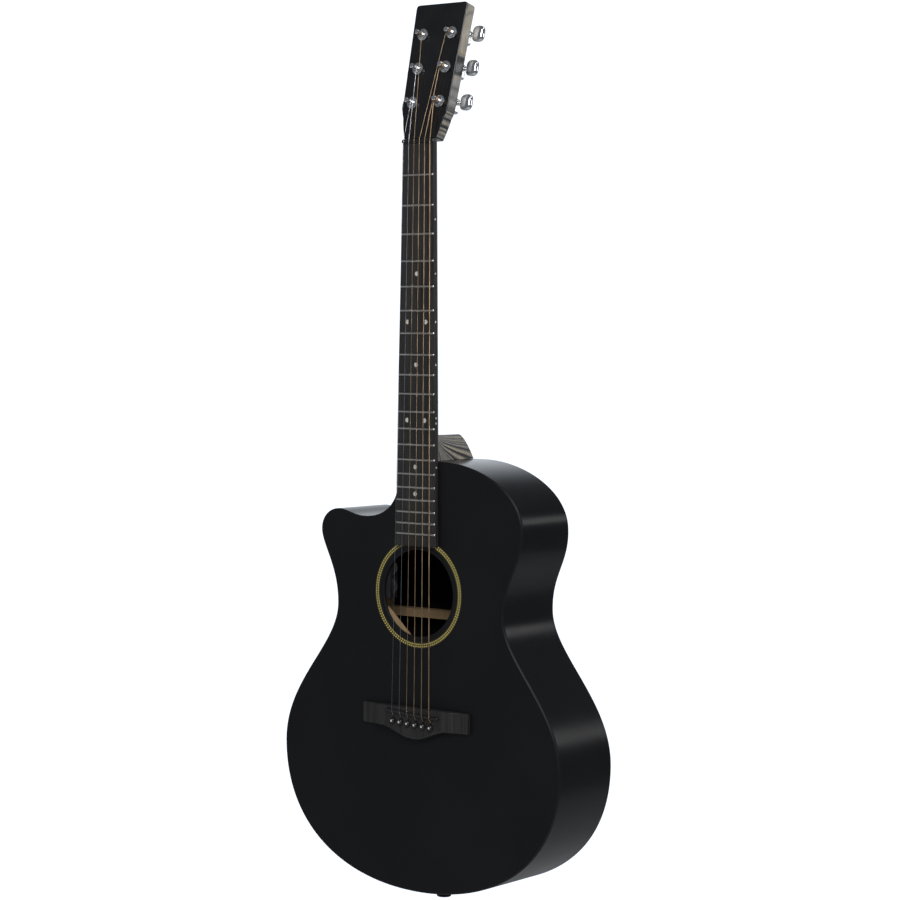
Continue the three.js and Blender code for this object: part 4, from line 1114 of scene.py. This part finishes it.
def guitar_string(number):
    radius = STRING_DIAMETERS[number - 1] / 2
    px, pz = pin_place(number)
    x_nut = string_fraction(number) * STRING_SPREAD_AT_NUT
    x_saddle = string_fraction(number) * STRING_SPREAD_AT_SADDLE
    z_saddle = SADDLE_Z - math.tan(STRING_SLANT) * x_saddle
    over_saddle = SADDLE_TOP_Y - radius - 0.3
    over_nut = -1.5 - radius
    side, s, x = tuner_place(number)
    wrap = POST_WAIST + radius + 0.08
    plain = number <= PLAIN_STRINGS
    turns = 4.5 if plain else 3.0
    pitch = min(2 * radius * 1.08, 3.2 / turns)
    first_height = -6.0
    corners = [
        Vector((px, 13.8, pz + 3.6)),
        Vector((px, 2.5, pz + 3.6)),
        Vector((px, BRIDGE_TOP_Y - 0.3, pz + 4.9)),
        Vector((x_saddle, over_saddle, z_saddle)),
        Vector((x_nut, over_nut, 0.8)),
        Vector((x_nut, over_nut + 0.3, 4.2)),
        HEAD @ Vector((x - side * wrap, first_height, s)),
    ]
    path = [corners[0]]
    for i in range(1, len(corners) - 1):
        path += smooth_corner(corners[i - 1], corners[i], corners[i + 1], 0.9)
    for i in range(1, 24):
        path.append(path[-1].lerp(corners[-1], 1 / (25 - i)))
    per_turn = 20
    for i in range(round(turns * per_turn) + 1):
        angle = 2 * math.pi * i / per_turn
        height = first_height - pitch * i / per_turn
        across = -side * math.cos(angle) * wrap
        path.append(HEAD @ Vector((x + across, height, s + math.sin(angle) * wrap)))
    wire = PLAIN_WIRE if plain else BRONZE
    ball = ring_of([(1.9, -1.5), (1.9, 1.5), (0.8, 1.5), (0.8, -1.5)], 20,
                   Matrix.Translation((px, 14.9, pz + 4.2)) @ Matrix.Rotation(math.pi / 2, 4, "Z"))
    solids = [(*tube(path, radius, 10), wire), (*ball, BRONZE)]
    piece(f"wire_{number}", solids, f"string_{number}")


# -------- end pin and controls

def end_pin():
    bore = 3.3
    profile = [(0, -46), (5.6, -46), (6, -45.5), (6, -37), (9, -37), (9, -33), (6, -33),
               (6, 0.1), (9.7, 0.1), (10, 0.5), (10, 1.6), (9.4, 2.3), (7, 2.8), (6.4, 3.4), (6.1, 5),
               (6.2, 8.6), (6.9, 9.8), (8, 10.6), (8.5, 11.4), (8.6, 12.4), (8.2, 13.1), (7.5, 13.6),
               (3.8, 13.6), (bore, 13.2), (bore, -42), (0, -42)]
    place = TAIL_PLACE @ Matrix.Rotation(-math.pi / 2, 4, "X")
    piece("strap_pin", [(*turned(profile, 48, place), BLACK_GLOSS)], "end_pin")


def thumb_wheel(name, body, z):
    teeth = 36
    outline = []
    for i in range(4 * teeth):
        a = 2 * math.pi * i / (4 * teeth)
        radius = 9 - (0.45 if i % 4 in (0, 1) else 0)
        outline.append((-46 + radius * math.cos(a), z + radius * math.sin(a)))
    y0, y1 = 13.5, 16.5
    sections = [(0.4, y0), (0, y0 + 0.4), (0, y1 - 0.4), (0.4, y1)]
    axle = rod_y(1.45, y0 - 1, y1 + 1, -46, z, 24)
    piece(f"{name}_knurled", [(*prism(outline, sections), BLACK_MOULDED)], name, body,
          cuts=[axle])


# -------- camera, floor and light

def camera():
    azimuth = CAMERA_AZIMUTH
    pitch = math.radians(2.700)
    roll = math.radians(0.446)
    level = Vector((math.sin(azimuth), -math.cos(azimuth), 0))
    back_axis = level * math.cos(pitch) + Vector((0, 0, math.sin(pitch)))
    right = Vector((math.cos(azimuth), math.sin(azimuth), 0))
    up = back_axis.cross(right)
    rolled_right = right * math.cos(roll) + up * math.sin(roll)
    rolled_up = up * math.cos(roll) - right * math.sin(roll)
    data = bpy.data.cameras.new("camera")
    data.sensor_width = 36
    data.lens = 101.02
    data.clip_end = 100
    obj = bpy.data.objects.new("camera", data)
    turn = Matrix((rolled_right, rolled_up, back_axis)).transposed().to_4x4()
    obj.matrix_world = Matrix.Translation((1.7838, -2.2316, -0.21158)) @ turn
    bpy.context.scene.collection.objects.link(obj)
    bpy.context.scene.camera = obj


def area_light(name, place, target, size, power, color=(1, 1, 1)):
    data = bpy.data.lights.new(name, "AREA")
    data.shape = "RECTANGLE"
    data.size, data.size_y = size
    data.energy = power
    data.color = color
    obj = bpy.data.objects.new(name, data)
    obj.location = place
    obj.rotation_euler = (Vector(target) - Vector(place)).to_track_quat("-Z", "Y").to_euler()
    bpy.context.scene.collection.objects.link(obj)


def surroundings():
    """White behind the guitar and a mid grey on the other sides, blended by direction."""
    world = bpy.data.worlds.new("studio")
    world.use_nodes = True
    tree = world.node_tree
    direction = tree.nodes.new("ShaderNodeTexCoord").outputs["Generated"]
    dot = tree.nodes.new("ShaderNodeVectorMath")
    dot.operation = "DOT_PRODUCT"
    dot.inputs[1].default_value = (-math.sin(CAMERA_AZIMUTH), math.cos(CAMERA_AZIMUTH), 0)
    blend = tree.nodes.new("ShaderNodeMapRange")
    for socket, value in zip(list(blend.inputs)[1:5], (0.78, 0.94, WORLD_GREY, 1.25)):
        socket.default_value = value
    tree.links.new(direction, dot.inputs[0])
    tree.links.new(dot.outputs["Value"], blend.inputs[0])
    tree.links.new(blend.outputs[0], tree.nodes["Background"].inputs["Strength"])
    tree.nodes["Background"].inputs["Color"].default_value = (0.86, 0.92, 1.0, 1)
    bpy.context.scene.world = world


def studio():
    """A pale floor well below the guitar, plain surroundings and soft light."""
    floor_z = BODY_BOTTOM_Z - 13.6 - FLOOR_DROP
    rim = [(FLOOR_RADIUS * math.cos(a), FLOOR_RADIUS * math.sin(a))
           for a in (math.pi * i / 48 for i in range(96))]
    points = [Vector((x, y, floor_z)) for x, y in rim]
    paper = Finish("paper", (0.80, 0.80, 0.80), 0.85, Specular_IOR_Level=0.1)
    fibre = paper.noise(40, detail=2)
    paper.color(paper.ramp(fibre, (0.3, (0.78, 0.78, 0.78)), (0.7, (0.82, 0.82, 0.82))))
    new_object("floor", [(points, [tuple(range(96))], paper.material)])

    surroundings()
    bpy.context.scene.view_settings.view_transform = "Standard"

    area_light("key", (2.4, -3.0, 2.6), (0, 0, -0.4), (1.8, 1.8), 70)
    area_light("front_soft", (-2.2, -2.3, 0.1), (0, 0, -0.4), (1.2, 1.0), 2)
    area_light("side_strip", (2.0, 2.4, 0.25), (0.15, 0.06, -0.45), (0.6, 0.5), 2.5)
    area_light("tuner_rim", (1.4, 0.9, 1.4), (0.03, 0.03, 0.08), (0.5, 0.5), 8)
    area_light("tuner_front", (1.3, -1.5, 0.8), (0, 0.02, 0.0), (1.0, 1.0), 22)


# -------- build

dress_carried_over()
camera()
soundboard()
rosette()
back()
sides()
bridge()
saddle()
bridge_pins()
neck()
faceplate()
fingerboard()
frets()
nut()
for string_number in STRING_NUMBERS:
    tuner_housing(string_number)
    tuner_post(string_number)
    tuner_key(string_number)
    guitar_string(string_number)
end_pin()
thumb_wheel("volume_wheel", "volume", -484)
thumb_wheel("tone_wheel", "tone", -506)
studio()
